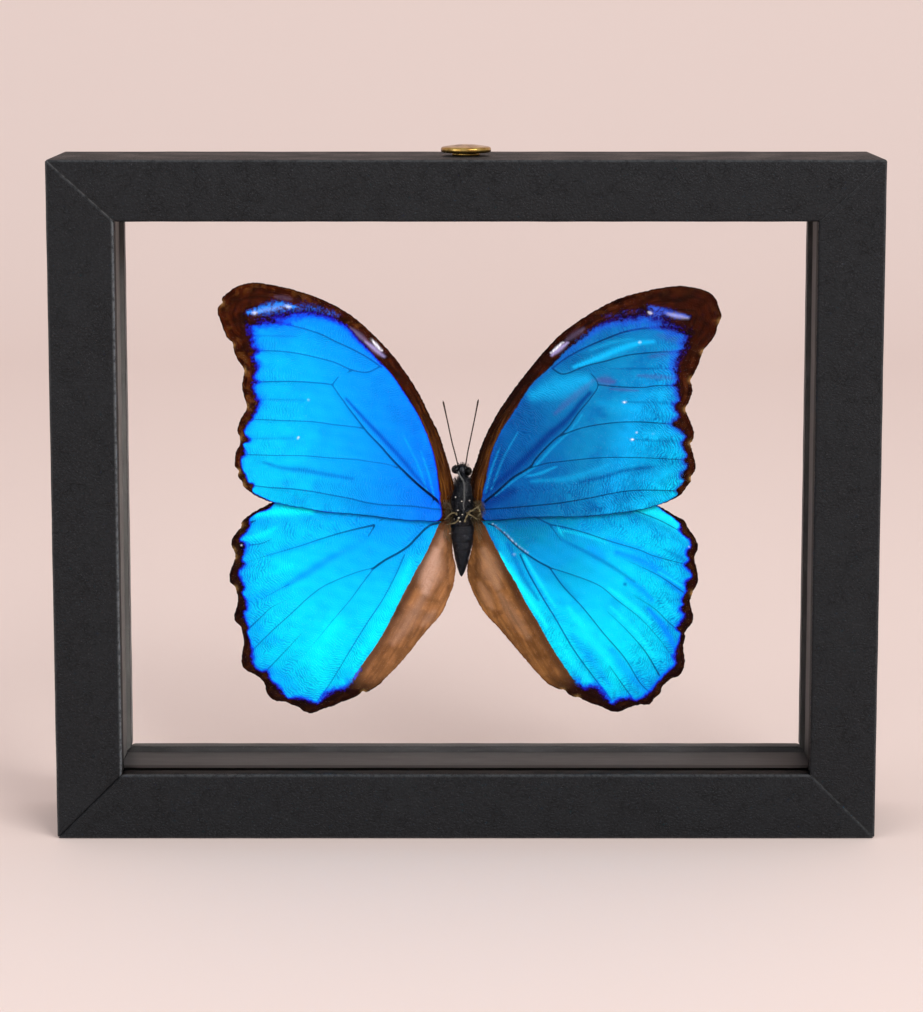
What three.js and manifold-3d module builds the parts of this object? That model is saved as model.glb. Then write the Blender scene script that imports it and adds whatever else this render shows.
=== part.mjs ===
// Framed butterfly specimen: a blue Morpho floating between two panes of glass in a deep black mitred frame.
// Millimetres, +Z up, +X to the right, the front face towards -Y. The origin is at the middle of the foot.

import * as THREE from 'three';
import { mergeVertices } from 'three/addons/utils/BufferGeometryUtils.js';
import Module from 'manifold-3d';

const wasm = await Module();
wasm.setup();

// ---- Driving dimensions ------------------------------------------------------------------------

const FRAME_WIDTH = 203;
const FRAME_HEIGHT = 168.5;
const FRAME_DEPTH = 35;
const SIDE_RAIL = 16.4; // face width of the side and bottom rails
const TOP_RAIL = 15; // the top rail is a little narrower, so its mitres run corner to corner
const ARRIS_RADIUS = 0.8; // the wrapped edges of the moulding are softly rounded
const MITRE_GAP = 0.16; // the rails butt at the corners with a hairline joint
const FIT_GAP = 0.3; // air round the glass and the spacers in their rebate

// Depths behind the front face, through the rebated moulding.
const LIP_DEPTH = 4.3; // the front lip
const PANE_THICKNESS = 2;
const FRONT_PANE_DEPTH = 12; // front of the front pane, at the back of the dark recess
const REAR_PANE_DEPTH = 29; // front of the rear pane
const REAR_LIP_DEPTH = 31;

// Widths from the outside of the side rails.
const REBATE_WIDTH = 9;
const RECESS_WIDTH = 14.2;
const REAR_LIP_WIDTH = 14.3;

// Hanging stud on the top rail.
const STUD_FOOT = { radius: 3, height: 0.8 };
const STUD_FLANGE = { radius: 6.2, height: 0.9 };
const STUD_CAP = { radius: 4.9, height: 1.2 };

// Specimen.
const WING_THICKNESS = 0.5;
const FOREWING_DEPTH = 20; // front of the forewings, behind the frame's front face
const HINDWING_DEPTH = 21; // the hindwings lie behind the forewings
const VEIN_HEIGHT = 0.35; // how far the veins stand proud of the wing
const VEIN_ROOT_WIDTH = 1;
const VEIN_TIP_WIDTH = 0.45;
const BODY_X = -1.05; // the body's midline lies a little left of the frame's
const BODY_DEPTH = 23; // the body's axis, behind the frame's front face
const WING_CLEARANCE = 0.3; // air between the wing roots and the body
const THORAX = { z: 79.8, halfWidth: 2.75, halfDepth: 4.2, halfHeight: 4.9, segments: 22 };
const HEAD = { z: 89.1, halfWidth: 1.7, halfDepth: 1.7, halfHeight: 1.2 };
const EYE_RADIUS = 1.1;
const EYE_OFFSET = 1.45;
const ANTENNA_RADIUS = 0.2;
const LEG_RADIUS = 0.28;
const PROBOSCIS_RADIUS = 0.25;
const GLUE_RADIUS = 2.2;

// ---- Materials ---------------------------------------------------------------------------------

const finish = (color, roughness, metalness = 0, extra = {}) =>
  new THREE.MeshStandardMaterial({ color, roughness, metalness, ...extra });

const leatherette = () => finish(0x2b2b2d, 0.55);
const spacerBoard = () => finish(0x6d6763, 0.5);
const clearGlass = () => finish(0xe9f1ee, 0.03, 0, { transparent: true, opacity: 0.25 });
const brass = () => finish(0xb08a3c, 0.3, 1);
const blueScales = () => finish(0x1590e8, 0.4);
const darkScales = () => finish(0x1d1c1f, 0.7);
const clearGlue = () => finish(0xd8d6c8, 0.3, 0, { transparent: true, opacity: 0.6 });

// ---- Helpers -----------------------------------------------------------------------------------

// Distance behind the front face, as a Y coordinate.
const depthToY = (depth) => depth - FRAME_DEPTH / 2;

// Keeps only positions, shares the vertices and turns the faces outward if a mapping mirrored them.
function closed(geometry) {
  let bare = geometry;
  bare.deleteAttribute('normal');
  bare.deleteAttribute('uv');
  bare = mergeVertices(bare, 1e-5);
  const position = bare.getAttribute('position');
  const index = bare.getIndex();
  const corner = [0, 1, 2].map(() => new THREE.Vector3());
  let volume = 0;
  for (let i = 0; i < index.count; i += 3) {
    corner.forEach((point, k) => point.fromBufferAttribute(position, index.getX(i + k)));
    volume += corner[0].dot(corner[1].clone().cross(corner[2]));
  }
  if (volume < 0) {
    for (let i = 0; i < index.count; i += 3) {
      const second = index.getX(i + 1);
      index.setX(i + 1, index.getX(i + 2));
      index.setX(i + 2, second);
    }
  }
  return bare;
}

function toSolid(geometry) {
  const bare = closed(geometry);
  const vertProperties = new Float32Array(bare.getAttribute('position').array);
  const triVerts = new Uint32Array(bare.getIndex().array);
  return new wasm.Manifold(new wasm.Mesh({ numProp: 3, vertProperties, triVerts }));
}

function toGeometry(solid) {
  const mesh = solid.getMesh();
  const geometry = new THREE.BufferGeometry();
  geometry.setAttribute('position', new THREE.BufferAttribute(new Float32Array(mesh.vertProperties), 3));
  geometry.setIndex(new THREE.BufferAttribute(new Uint32Array(mesh.triVerts), 1));
  return geometry;
}

const fuse = (geometries) => geometries.map(toSolid).reduce((whole, next) => whole.add(next));

// A smooth open curve through flat [x, z] points.
function smooth(points, perSpan) {
  const curve = new THREE.CatmullRomCurve3(
    points.map(([x, z]) => new THREE.Vector3(x, z, 0)),
    false,
    'centripetal',
  );
  return curve.getPoints((points.length - 1) * perSpan).map((p) => new THREE.Vector2(p.x, p.y));
}

// Raises a flat outline of X and Z into a plate whose front is at the given depth.
function plate(outline, depth, thickness) {
  const geometry = new THREE.ExtrudeGeometry(new THREE.Shape(outline), {
    depth: thickness,
    bevelEnabled: false,
  });
  geometry.rotateX(Math.PI / 2); // the extrusion now runs towards -Y
  geometry.translate(0, depthToY(depth) + thickness, 0);
  return geometry;
}

// A round rod along 3-D points.
function rod(points, radius, sides, perSpan) {
  const section = new THREE.Shape();
  section.absarc(0, 0, radius, 0, Math.PI * 2, false);
  const path = new THREE.CatmullRomCurve3(points, false, 'centripetal');
  return new THREE.ExtrudeGeometry(section, {
    steps: (points.length - 1) * perSpan,
    curveSegments: sides,
    extrudePath: path,
  });
}

function ellipsoid(x, depth, z, halfWidth, halfDepth, halfHeight, segments) {
  const geometry = new THREE.SphereGeometry(1, segments, Math.round(segments * 0.7));
  geometry.rotateX(Math.PI / 2);
  geometry.scale(halfWidth, halfDepth, halfHeight);
  geometry.translate(x, depthToY(depth), z);
  return geometry;
}

// ---- Frame -------------------------------------------------------------------------------------

// Where a mitre line crosses a given width of the side rail, at one corner of the frame.
function mitrePoint(right, top, width) {
  const x = FRAME_WIDTH / 2 - width;
  const z = top ? FRAME_HEIGHT - (width * TOP_RAIL) / SIDE_RAIL : width;
  return new THREE.Vector2(right ? x : -x, z);
}

// Sweeps a section of [width, depth] between two corners of the frame, mitred at both ends.
function mitredLength(section, fromCorner, toCorner) {
  const geometry = new THREE.ExtrudeGeometry(section, { depth: 1, steps: 1, bevelEnabled: false });
  const position = geometry.getAttribute('position');
  for (let i = 0; i < position.count; i += 1) {
    const width = position.getX(i);
    const depth = position.getY(i);
    const start = mitrePoint(...fromCorner, width);
    const end = mitrePoint(...toCorner, width);
    const pull = end.clone().sub(start).setLength(MITRE_GAP / 2);
    const point = position.getZ(i) < 0.5 ? start.add(pull) : end.sub(pull);
    position.setXYZ(i, point.x, depthToY(depth), point.y);
  }
  return closed(geometry);
}

// The rebated moulding: a front lip, a dark recess, the rebate for the glass and a rear lip.
function railSection() {
  const r = ARRIS_RADIUS;
  const section = new THREE.Shape();
  section.moveTo(0, r);
  section.absarc(r, r, r, Math.PI, Math.PI * 1.5, false);
  section.lineTo(SIDE_RAIL - r, 0);
  section.absarc(SIDE_RAIL - r, r, r, -Math.PI / 2, 0, false);
  section.lineTo(SIDE_RAIL, LIP_DEPTH);
  section.lineTo(RECESS_WIDTH, LIP_DEPTH);
  section.lineTo(RECESS_WIDTH, FRONT_PANE_DEPTH);
  section.lineTo(REBATE_WIDTH, FRONT_PANE_DEPTH);
  section.lineTo(REBATE_WIDTH, REAR_LIP_DEPTH);
  section.lineTo(REAR_LIP_WIDTH, REAR_LIP_DEPTH);
  section.lineTo(REAR_LIP_WIDTH, FRAME_DEPTH - r);
  section.absarc(REAR_LIP_WIDTH - r, FRAME_DEPTH - r, r, 0, Math.PI / 2, false);
  section.lineTo(r, FRAME_DEPTH);
  section.absarc(r, FRAME_DEPTH - r, r, Math.PI / 2, Math.PI, false);
  return new THREE.Shape(section.getPoints(4));
}

// A strip that holds the two panes apart and faces the chamber round the specimen.
function spacerSection() {
  const front = FRONT_PANE_DEPTH + PANE_THICKNESS;
  const inner = REAR_LIP_WIDTH;
  const outer = REBATE_WIDTH + FIT_GAP;
  return new THREE.Shape([
    new THREE.Vector2(outer, front),
    new THREE.Vector2(inner, front),
    new THREE.Vector2(inner, REAR_PANE_DEPTH),
    new THREE.Vector2(outer, REAR_PANE_DEPTH),
  ]);
}

// The four sides, each between two corners given as [right, top].
const FRAME_SIDES = {
  bottom: [[false, false], [true, false]],
  right: [[true, false], [true, true]],
  top: [[true, true], [false, true]],
  left: [[false, true], [false, false]],
};

function pane(depth) {
  const edge = REBATE_WIDTH + FIT_GAP;
  const low = mitrePoint(false, false, edge);
  const high = mitrePoint(true, true, edge);
  const geometry = new THREE.BoxGeometry(high.x - low.x, PANE_THICKNESS, high.y - low.y);
  geometry.translate(0, depthToY(depth) + PANE_THICKNESS / 2, (low.y + high.y) / 2);
  return geometry;
}

// A low brass stud: a narrow foot, a wide thin flange and a domed cap.
function studGeometry() {
  const flangeTop = STUD_FOOT.height + STUD_FLANGE.height;
  const top = flangeTop + STUD_CAP.height;
  const ease = 0.25;
  const profile = [
    [0, 0],
    [STUD_FOOT.radius, 0],
    [STUD_FOOT.radius, STUD_FOOT.height],
    [STUD_FLANGE.radius - ease, STUD_FOOT.height],
    [STUD_FLANGE.radius, STUD_FOOT.height + ease],
    [STUD_FLANGE.radius, flangeTop - ease],
    [STUD_FLANGE.radius - ease, flangeTop],
    [STUD_CAP.radius, flangeTop],
    [STUD_CAP.radius, top - 2 * ease],
    [STUD_CAP.radius - ease, top - ease],
    [STUD_CAP.radius * 0.6, top - ease / 4],
    [0, top],
  ];
  const geometry = new THREE.LatheGeometry(profile.map(([r, h]) => new THREE.Vector2(r, h)), 32);
  geometry.rotateX(Math.PI / 2);
  geometry.translate(0, 0, FRAME_HEIGHT);
  return closed(geometry);
}

// ---- Wings -------------------------------------------------------------------------------------

// Each wing is drawn as [x, z] points: the leading edge from the root to the tip, the scalloped outer
// margin, and the inner edge back to the root. Its veins run from the root towards the margin.
const WINGS = {
  forewing_left: {
    depth: FOREWING_DEPTH,
    leading: [
      [-2.4, 82.5], [-3.3, 87], [-4.8, 92], [-8, 100.5], [-11.4, 108], [-15.2, 114], [-20, 120],
      [-26.3, 126], [-34.6, 132], [-43.6, 135], [-52, 136.7], [-57, 135.9], [-59.9, 133.8], [-61.1, 132],
    ],
    margin: [
      [-60.5, 131.5], [-61.9, 129.6], [-61.2, 127], [-58.9, 122], [-58.2, 120.9], [-57.5, 118],
      [-56.3, 116.1], [-55.3, 114.8], [-56, 112.5], [-56, 109.5], [-55, 107.2], [-55, 105.2],
      [-56.3, 102.5], [-57.3, 99.9], [-56.9, 97], [-57.1, 95.2], [-58, 92.5], [-57.9, 90.6],
      [-57.2, 89.2], [-57.3, 88], [-56.3, 86.4], [-55.8, 85],
    ],
    inner: [
      [-53.9, 83.2], [-51.7, 82], [-48.7, 81.1], [-43, 80.1], [-36, 78.8], [-28, 78.1], [-20, 77],
      [-12, 76.2], [-7, 76.3], [-2.4, 77.5],
    ],
    veins: [
      [[-6.2, 80.7], [-12.4, 86.6], [-17.6, 91], [-21.6, 95.8], [-26, 100.2], [-30, 105.7], [-33.2, 111]],
      [[-8, 86], [-10.6, 97.5], [-16, 109.5], [-21.2, 115.4], [-29, 120.3], [-36.5, 123.9], [-45, 126.5],
        [-53, 126.7]],
      [[-21.2, 115.2], [-25, 114.4], [-31, 116.2], [-38.6, 118.5], [-47, 119.6], [-54, 119.4]],
      [[-33.2, 111], [-40.7, 111.7], [-49, 111.8], [-53, 111.3]],
      [[-26, 100.2], [-31.9, 101.1], [-38.2, 101.8], [-46, 102.2], [-53.5, 102.2]],
      [[-17.7, 90.6], [-25.8, 91.9], [-34, 92.8], [-44, 93.1], [-55, 93]],
      [[-7, 79.4], [-15, 80.4], [-22.7, 80.9], [-31.9, 82.8], [-40.3, 84.4], [-54, 85.6]],
    ],
  },
  hindwing_left: {
    depth: HINDWING_DEPTH,
    leading: [
      [-2.6, 78.5], [-10, 81.5], [-22, 85], [-34, 85.5], [-43, 83.5], [-48.7, 81.2], [-52.9, 79.4],
      [-56.3, 76.7],
    ],
    margin: [
      [-56.7, 75.2], [-58.3, 72.9], [-59.25, 70.5], [-58.5, 68.6], [-58.1, 67.1], [-59, 64.6],
      [-59.8, 62], [-59.2, 60.2], [-58.1, 59], [-57.6, 56.2], [-58.4, 52.9], [-58.7, 51.4],
      [-58, 49.9], [-56.8, 48.5], [-56.2, 45.8], [-56.8, 42], [-56.9, 39.6], [-56, 38], [-53.8, 36.9],
      [-52, 35.4], [-51, 33.4], [-50, 31], [-47.4, 29.7], [-45.8, 29.7], [-42.6, 28.3], [-39.9, 26.6],
      [-36.9, 27.3], [-34.7, 28.5], [-31, 29.9], [-28.8, 30.5], [-26.4, 32.2], [-23.9, 32.7],
      [-20.7, 35.4], [-17.4, 38.8],
    ],
    inner: [
      [-14.1, 42.6], [-8.4, 49.7], [-5.5, 53.2], [-3.5, 57.9], [-2.6, 62.6], [-2.8, 64.4],
      [-3.6, 67.8], [-3.8, 71], [-3, 75],
    ],
    veins: [
      [[-6.6, 77], [-12, 72.6], [-15.3, 69.1], [-23.1, 64.5], [-32, 61.5], [-40, 56.6], [-47, 54],
        [-53.3, 50], [-56, 48]],
      [[-12, 80], [-20.4, 76.7], [-25.2, 74.7], [-35, 72.2], [-43, 69.7], [-56.5, 67.4]],
      [[-22.9, 75.2], [-24.8, 72.2], [-32, 68], [-40.3, 63.1], [-48.7, 59], [-56.5, 58.6]],
      [[-15, 68.6], [-18.1, 62.1], [-22.2, 54.2], [-28.3, 44.3], [-34, 34.9], [-37.3, 29.6]],
      [[-23.1, 64.1], [-28.6, 56.6], [-35.2, 49], [-40.7, 43], [-45, 36], [-46.5, 31.2]],
      [[-26.5, 63.2], [-36.5, 54], [-41.7, 48], [-46.7, 42.2], [-51.5, 36.2]],
    ],
  },
  forewing_right: {
    depth: FOREWING_DEPTH,
    leading: [
      [0.6, 82.5], [1.6, 88], [2.8, 92], [6.6, 100.9], [11.2, 108.9], [16.7, 116.6], [22.8, 122.8],
      [29.9, 128.3], [37.1, 132.2], [44.6, 134.5], [52.6, 135.8], [57, 135.4], [60.6, 134.1], [62.6, 132.3],
    ],
    margin: [
      [63.7, 129.6], [63.6, 127.4], [62.3, 123.4], [60.3, 120.7], [59, 119.3], [58.5, 117.2],
      [57.5, 114.5], [56.1, 112.3], [56.6, 110.3], [56.3, 107.6], [55, 105], [55.9, 102.1],
      [57.1, 99.2], [56.9, 97.4], [56.2, 96], [57.3, 92.3], [57.5, 90.1], [56.3, 88], [56.4, 86.6],
      [55.4, 85.5], [54.9, 83.9],
    ],
    inner: [
      [52.6, 82.3], [49.6, 80.9], [44.6, 79.6], [38, 78.3], [28.6, 77.5], [18, 77.4], [10, 76.8],
      [4.9, 76.4], [0.6, 77.5],
    ],
    veins: [
      [[4, 81.2], [10, 86.4], [15.7, 90.4], [21.3, 96.5], [26.2, 101.4], [31.2, 108.2], [33, 111]],
      [[5.5, 87], [8, 96.5], [14.6, 107.9], [21.1, 115.1], [28.4, 119.7], [37.5, 123.7], [45, 125.1],
        [52, 125]],
      [[21.4, 115], [24.5, 113.9], [30, 115.7], [39.3, 118.2], [46, 118.9], [54, 119]],
      [[33, 110.9], [42.9, 111.3], [52, 110.8]],
      [[26, 99.9], [34.9, 101.1], [41.2, 101.9], [50, 101], [52.6, 101.1]],
      [[15.8, 90.2], [25, 91.6], [37, 92.1], [54.5, 92]],
      [[5, 79.2], [15, 80.2], [25.5, 81.4], [34.9, 83.4], [43.3, 84.4], [53, 84.3]],
    ],
  },
  hindwing_right: {
    depth: HINDWING_DEPTH,
    leading: [
      [0.6, 78.5], [9, 81.5], [20, 84.5], [32, 85], [42, 83.2], [48, 80.5], [52, 78.3], [55.5, 75.8],
    ],
    margin: [
      [56, 74.2], [57.5, 72.4], [58.5, 69.6], [57.7, 67.2], [57.9, 65], [58.7, 61.9], [58.1, 59.6],
      [57.1, 57.9], [56.7, 55.7], [57.5, 51.4], [57.1, 49.5], [55.4, 47.4], [55.4, 45.8], [55, 43.6],
      [55.4, 40.5], [55.2, 37.7], [53.6, 36], [51.4, 35], [49.6, 32.8], [48.8, 30.8], [46.8, 29],
      [44.2, 28.9], [41.2, 27.9], [38.2, 26.9], [34.7, 27.9], [33, 28.9], [30.3, 29.9], [28, 30.7],
      [26.6, 31.3], [24.6, 32.9], [21.8, 33.6], [19.7, 35.3],
    ],
    inner: [
      [15.5, 40.2], [8.6, 48.5], [4.4, 53.3], [1.5, 58.8], [0.5, 62.6], [0.8, 64.6], [1.6, 67.9],
      [1.9, 71], [1, 75],
    ],
    veins: [
      [[4.9, 77], [10, 72.6], [14.2, 68.8], [21, 64.5], [30, 61.6], [36, 58.9], [44.2, 51.3], [50, 45],
        [53.5, 43.2]],
      [[11, 80], [18.2, 77], [21.4, 74.8], [30, 73.2], [41.2, 69.6], [56, 67.4]],
      [[21.5, 74.5], [23.8, 71.2], [31, 67.6], [38, 66.9], [47, 63.2], [56, 57.9]],
      [[13.4, 68.6], [17.4, 60.4], [22, 52.2], [27.4, 43.7], [32.6, 35.2], [37, 29.2]],
      [[21.1, 64.3], [27, 56.8], [34.3, 48.1], [41.2, 38.9], [46.7, 32.4]],
      [[24.5, 63.2], [31.5, 57.2], [39.1, 50.2], [45.4, 42.2], [49.8, 35.6]],
    ],
  },
};

// A narrow raised strip along a vein, tapering from the root to the margin.
function veinRidge(points, depth) {
  const line = smooth(points, 2);
  const left = [];
  const right = [];
  line.forEach((point, i) => {
    const before = line[Math.max(i - 1, 0)];
    const after = line[Math.min(i + 1, line.length - 1)];
    const across = after.clone().sub(before).normalize().rotateAround(new THREE.Vector2(), Math.PI / 2);
    const share = i / (line.length - 1);
    const halfWidth = THREE.MathUtils.lerp(VEIN_ROOT_WIDTH, VEIN_TIP_WIDTH, share) / 2;
    left.push(point.clone().addScaledVector(across, halfWidth));
    right.unshift(point.clone().addScaledVector(across, -halfWidth));
  });
  const embedded = WING_THICKNESS / 2;
  return plate([...left, ...right], depth - VEIN_HEIGHT, VEIN_HEIGHT + embedded);
}

function wingGeometry({ depth, leading, margin, inner, veins }) {
  const tip = leading[leading.length - 1];
  const heel = margin[margin.length - 1];
  const outline = [
    ...smooth(leading, 2),
    ...smooth([tip, ...margin], 2).slice(1),
    ...smooth([heel, ...inner], 2).slice(1),
  ];
  const blade = plate(outline, depth, WING_THICKNESS);
  const wing = fuse([blade, ...veins.map((vein) => veinRidge(vein, depth))]);
  const space = fuse([thoraxGeometry(WING_CLEARANCE), abdomenGeometry(WING_CLEARANCE)]);
  return toGeometry(wing.subtract(space));
}

// ---- Body, legs and antennae -------------------------------------------------------------------

// Half-widths of the abdomen down its length, from the thorax to the tip, as [z, half-width].
const ABDOMEN = [
  [76.5, 2.3], [75, 2.65], [72, 2.7], [70, 2.45], [68, 2.15], [66, 1.7], [64, 1.15], [62.5, 0.55], [61.6, 0],
];

function thoraxGeometry(extra = 0) {
  const { z, halfWidth, halfDepth, halfHeight, segments } = THORAX;
  return ellipsoid(BODY_X, BODY_DEPTH, z, halfWidth + extra, halfDepth + extra, halfHeight + extra, segments);
}

function abdomenGeometry(extra = 0) {
  const profile = [...ABDOMEN].reverse().map(([z, r]) => new THREE.Vector2(r > 0 ? r + extra : 0, z));
  profile.push(new THREE.Vector2(0, ABDOMEN[0][0] + 0.8));
  const geometry = new THREE.LatheGeometry(profile, 18);
  geometry.rotateX(Math.PI / 2);
  geometry.translate(BODY_X, depthToY(BODY_DEPTH - 1), 0);
  return geometry;
}

// Depth of the thorax's front surface, or of the wing roots beside it, at an x and z.
function restingDepth(x, z) {
  const u = (x - BODY_X) / THORAX.halfWidth;
  const v = (z - THORAX.z) / THORAX.halfHeight;
  const bulge = Math.max(1 - u * u - v * v, 0);
  return Math.min(BODY_DEPTH - THORAX.halfDepth * Math.sqrt(bulge), FOREWING_DEPTH - 0.9);
}

// A leg or the proboscis starts inside the body and lies on its front along [x, z] points.
function restingRod(points, radius) {
  const path = points.map(([x, z]) => new THREE.Vector3(x, depthToY(restingDepth(x, z)), z));
  const [rootX, rootZ] = points[0];
  path.unshift(new THREE.Vector3(rootX, depthToY(BODY_DEPTH - 1), rootZ));
  return rod(path, radius, 4, 2);
}

const LEGS = [
  [[-0.4, 76.8], [0.4, 78.4], [1.3, 79.4], [2.6, 80.1], [4.2, 80.5]],
  [[0.2, 79.2], [1.1, 78.3], [2.8, 77.2]],
  [[-1.8, 78.2], [-3.6, 78.8], [-5, 77.8], [-6.4, 76.4]],
  [[-1.6, 76.9], [-2.8, 75.6], [-4.6, 75.4]],
];
const PROBOSCIS = [[-0.7, 87.4], [-0.5, 85.5], [-0.4, 82.6], [-0.4, 79]];

function bodyGeometry() {
  const eyes = [-1, 1].map((side) =>
    ellipsoid(BODY_X + side * EYE_OFFSET, BODY_DEPTH, HEAD.z, EYE_RADIUS, EYE_RADIUS * 1.2, EYE_RADIUS, 12));
  return toGeometry(fuse([
    thoraxGeometry(),
    ellipsoid(BODY_X, BODY_DEPTH, 85, 1.6, 2.4, 1.9, 14),
    ellipsoid(BODY_X, BODY_DEPTH, 87.2, 0.9, 1.2, 1.4, 10),
    ellipsoid(BODY_X, BODY_DEPTH, HEAD.z, HEAD.halfWidth, HEAD.halfDepth, HEAD.halfHeight, 14),
    ...eyes,
    abdomenGeometry(),
    ...LEGS.map((leg) => restingRod(leg, LEG_RADIUS)),
    restingRod(PROBOSCIS, PROBOSCIS_RADIUS),
  ]));
}

// Antennae rise from the top of the head as [x, depth, z], a hair's breadth clear of it.
const ANTENNAE = {
  antenna_left: [[-2.1, 22.6, 90.8], [-3, 21.6, 95], [-4.3, 20.6, 100.8], [-5.75, 20, 107]],
  antenna_right: [[-0.2, 22.6, 90.6], [0.75, 21.6, 95.6], [1.8, 20.6, 101], [3.1, 20, 107.4]],
};

function antennaGeometry(points) {
  const path = points.map(([x, depth, z]) => new THREE.Vector3(x, depthToY(depth), z));
  return closed(rod(path, ANTENNA_RADIUS, 6, 3));
}

// The dab of clear glue that holds the thorax to the rear pane.
function glueGeometry() {
  const back = BODY_DEPTH + THORAX.halfDepth + 0.1;
  const length = REAR_PANE_DEPTH - back;
  const profile = [
    [0, 0], [GLUE_RADIUS, 0], [GLUE_RADIUS * 0.8, length * 0.35], [GLUE_RADIUS * 0.7, length], [0, length],
  ];
  const geometry = new THREE.LatheGeometry(profile.map(([r, h]) => new THREE.Vector2(r, h)), 20);
  geometry.rotateX(Math.PI); // the broad end sits on the rear pane and the narrow end points forward
  geometry.translate(BODY_X, depthToY(REAR_PANE_DEPTH), THORAX.z);
  return closed(geometry);
}

// ---- Assembly ----------------------------------------------------------------------------------

const specimen = new THREE.Group();

function piece(name, geometry, material) {
  const mesh = new THREE.Mesh(geometry, material);
  mesh.name = name;
  specimen.add(mesh);
}

for (const [side, corners] of Object.entries(FRAME_SIDES)) {
  piece(`rail_${side}`, mitredLength(railSection(), ...corners), leatherette());
  piece(`spacer_${side}`, mitredLength(spacerSection(), ...corners), spacerBoard());
}
piece('pane_front', pane(FRONT_PANE_DEPTH), clearGlass());
piece('pane_rear', pane(REAR_PANE_DEPTH), clearGlass());
piece('hanging_stud', studGeometry(), brass());

for (const [name, wing] of Object.entries(WINGS)) {
  piece(name, wingGeometry(wing), blueScales());
}
piece('body', bodyGeometry(), darkScales());
for (const [name, points] of Object.entries(ANTENNAE)) {
  piece(name, antennaGeometry(points), darkScales());
}
piece('glue_dab', glueGeometry(), clearGlue());

export default specimen;
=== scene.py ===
"""Framed blue Morpho specimen, dressed over the CAD frame."""

import math

import bpy
import numpy as np
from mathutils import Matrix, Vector
from mathutils.geometry import delaunay_2d_cdt


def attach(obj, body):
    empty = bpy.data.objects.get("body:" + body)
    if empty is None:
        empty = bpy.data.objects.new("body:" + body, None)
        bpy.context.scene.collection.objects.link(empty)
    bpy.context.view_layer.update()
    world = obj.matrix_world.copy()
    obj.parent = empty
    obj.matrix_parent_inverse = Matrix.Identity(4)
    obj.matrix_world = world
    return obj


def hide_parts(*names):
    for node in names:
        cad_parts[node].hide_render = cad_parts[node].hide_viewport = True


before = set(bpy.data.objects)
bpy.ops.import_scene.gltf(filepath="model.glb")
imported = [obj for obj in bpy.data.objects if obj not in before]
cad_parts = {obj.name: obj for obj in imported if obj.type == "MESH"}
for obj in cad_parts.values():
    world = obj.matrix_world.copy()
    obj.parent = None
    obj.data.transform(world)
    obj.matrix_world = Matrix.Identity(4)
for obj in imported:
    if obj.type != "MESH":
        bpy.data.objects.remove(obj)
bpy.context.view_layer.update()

MM = 0.001

# ---- Dimensions in millimetres, as in the CAD source -------------------------------------------

WIDTH, HEIGHT, DEPTH = 203.0, 168.5, 35.0
SIDE_RAIL, TOP_RAIL = 16.4, 15.0
REBATE, RECESS, REAR_LIP = 9.0, 14.0, 15.3
LIP_DEPTH, PANE_DEPTH, REAR_LIP_DEPTH = 4.3, 12.0, 31.0
FOREWING_DEPTH, HINDWING_DEPTH = 20.1, 21.3
BODY_X, BODY_DEPTH = -1.0, 23.0
GRID = 0.42  # spacing of the points across a wing


def depth_to_y(depth):
    return depth - DEPTH / 2


# ---- Small tools -------------------------------------------------------------------------------


def linear(hex_colour):
    """A hex sRGB colour as linear RGBA."""
    channels = [int(hex_colour[i : i + 2], 16) / 255 for i in (0, 2, 4)]
    return [c / 12.92 if c <= 0.04045 else ((c + 0.055) / 1.055) ** 2.4 for c in channels] + [1.0]


def wobble(x, y, seed=0.0):
    """Smooth noise of about unit size from a few crossed waves."""
    return (
        np.sin(1.00 * x + 1.7 * y + seed)
        + np.sin(-1.31 * x + 0.83 * y + 2.1 * seed + 1.0)
        + np.sin(0.47 * x - 2.09 * y + 3.7 * seed + 4.0)
    ) / 3


def add_mesh(name, verts_mm, faces, materials, face_slots=None, smooth=True, attributes=None):
    """A mesh object from millimetre vertices, with its faces' slots and point attributes."""
    mesh = bpy.data.meshes.new(name)
    mesh.from_pydata((np.asarray(verts_mm, float) * MM).tolist(), [], [tuple(f) for f in faces])
    for material in materials:
        mesh.materials.append(material)
    if face_slots is not None:
        mesh.polygons.foreach_set("material_index", np.asarray(face_slots, np.int32))
    mesh.polygons.foreach_set("use_smooth", np.full(len(mesh.polygons), smooth))
    for key, values in (attributes or {}).items():
        mesh.attributes.new(key, "FLOAT", "POINT").data.foreach_set("value", np.asarray(values, np.float32))
    mesh.update()
    obj = bpy.data.objects.new(name, mesh)
    bpy.context.scene.collection.objects.link(obj)
    return obj


def fit(obj, *nodes):
    """Makes obj part of the object, standing for the CAD nodes it replaces."""
    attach(obj, "root")
    if nodes:
        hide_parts(*nodes)
    return obj


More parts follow.
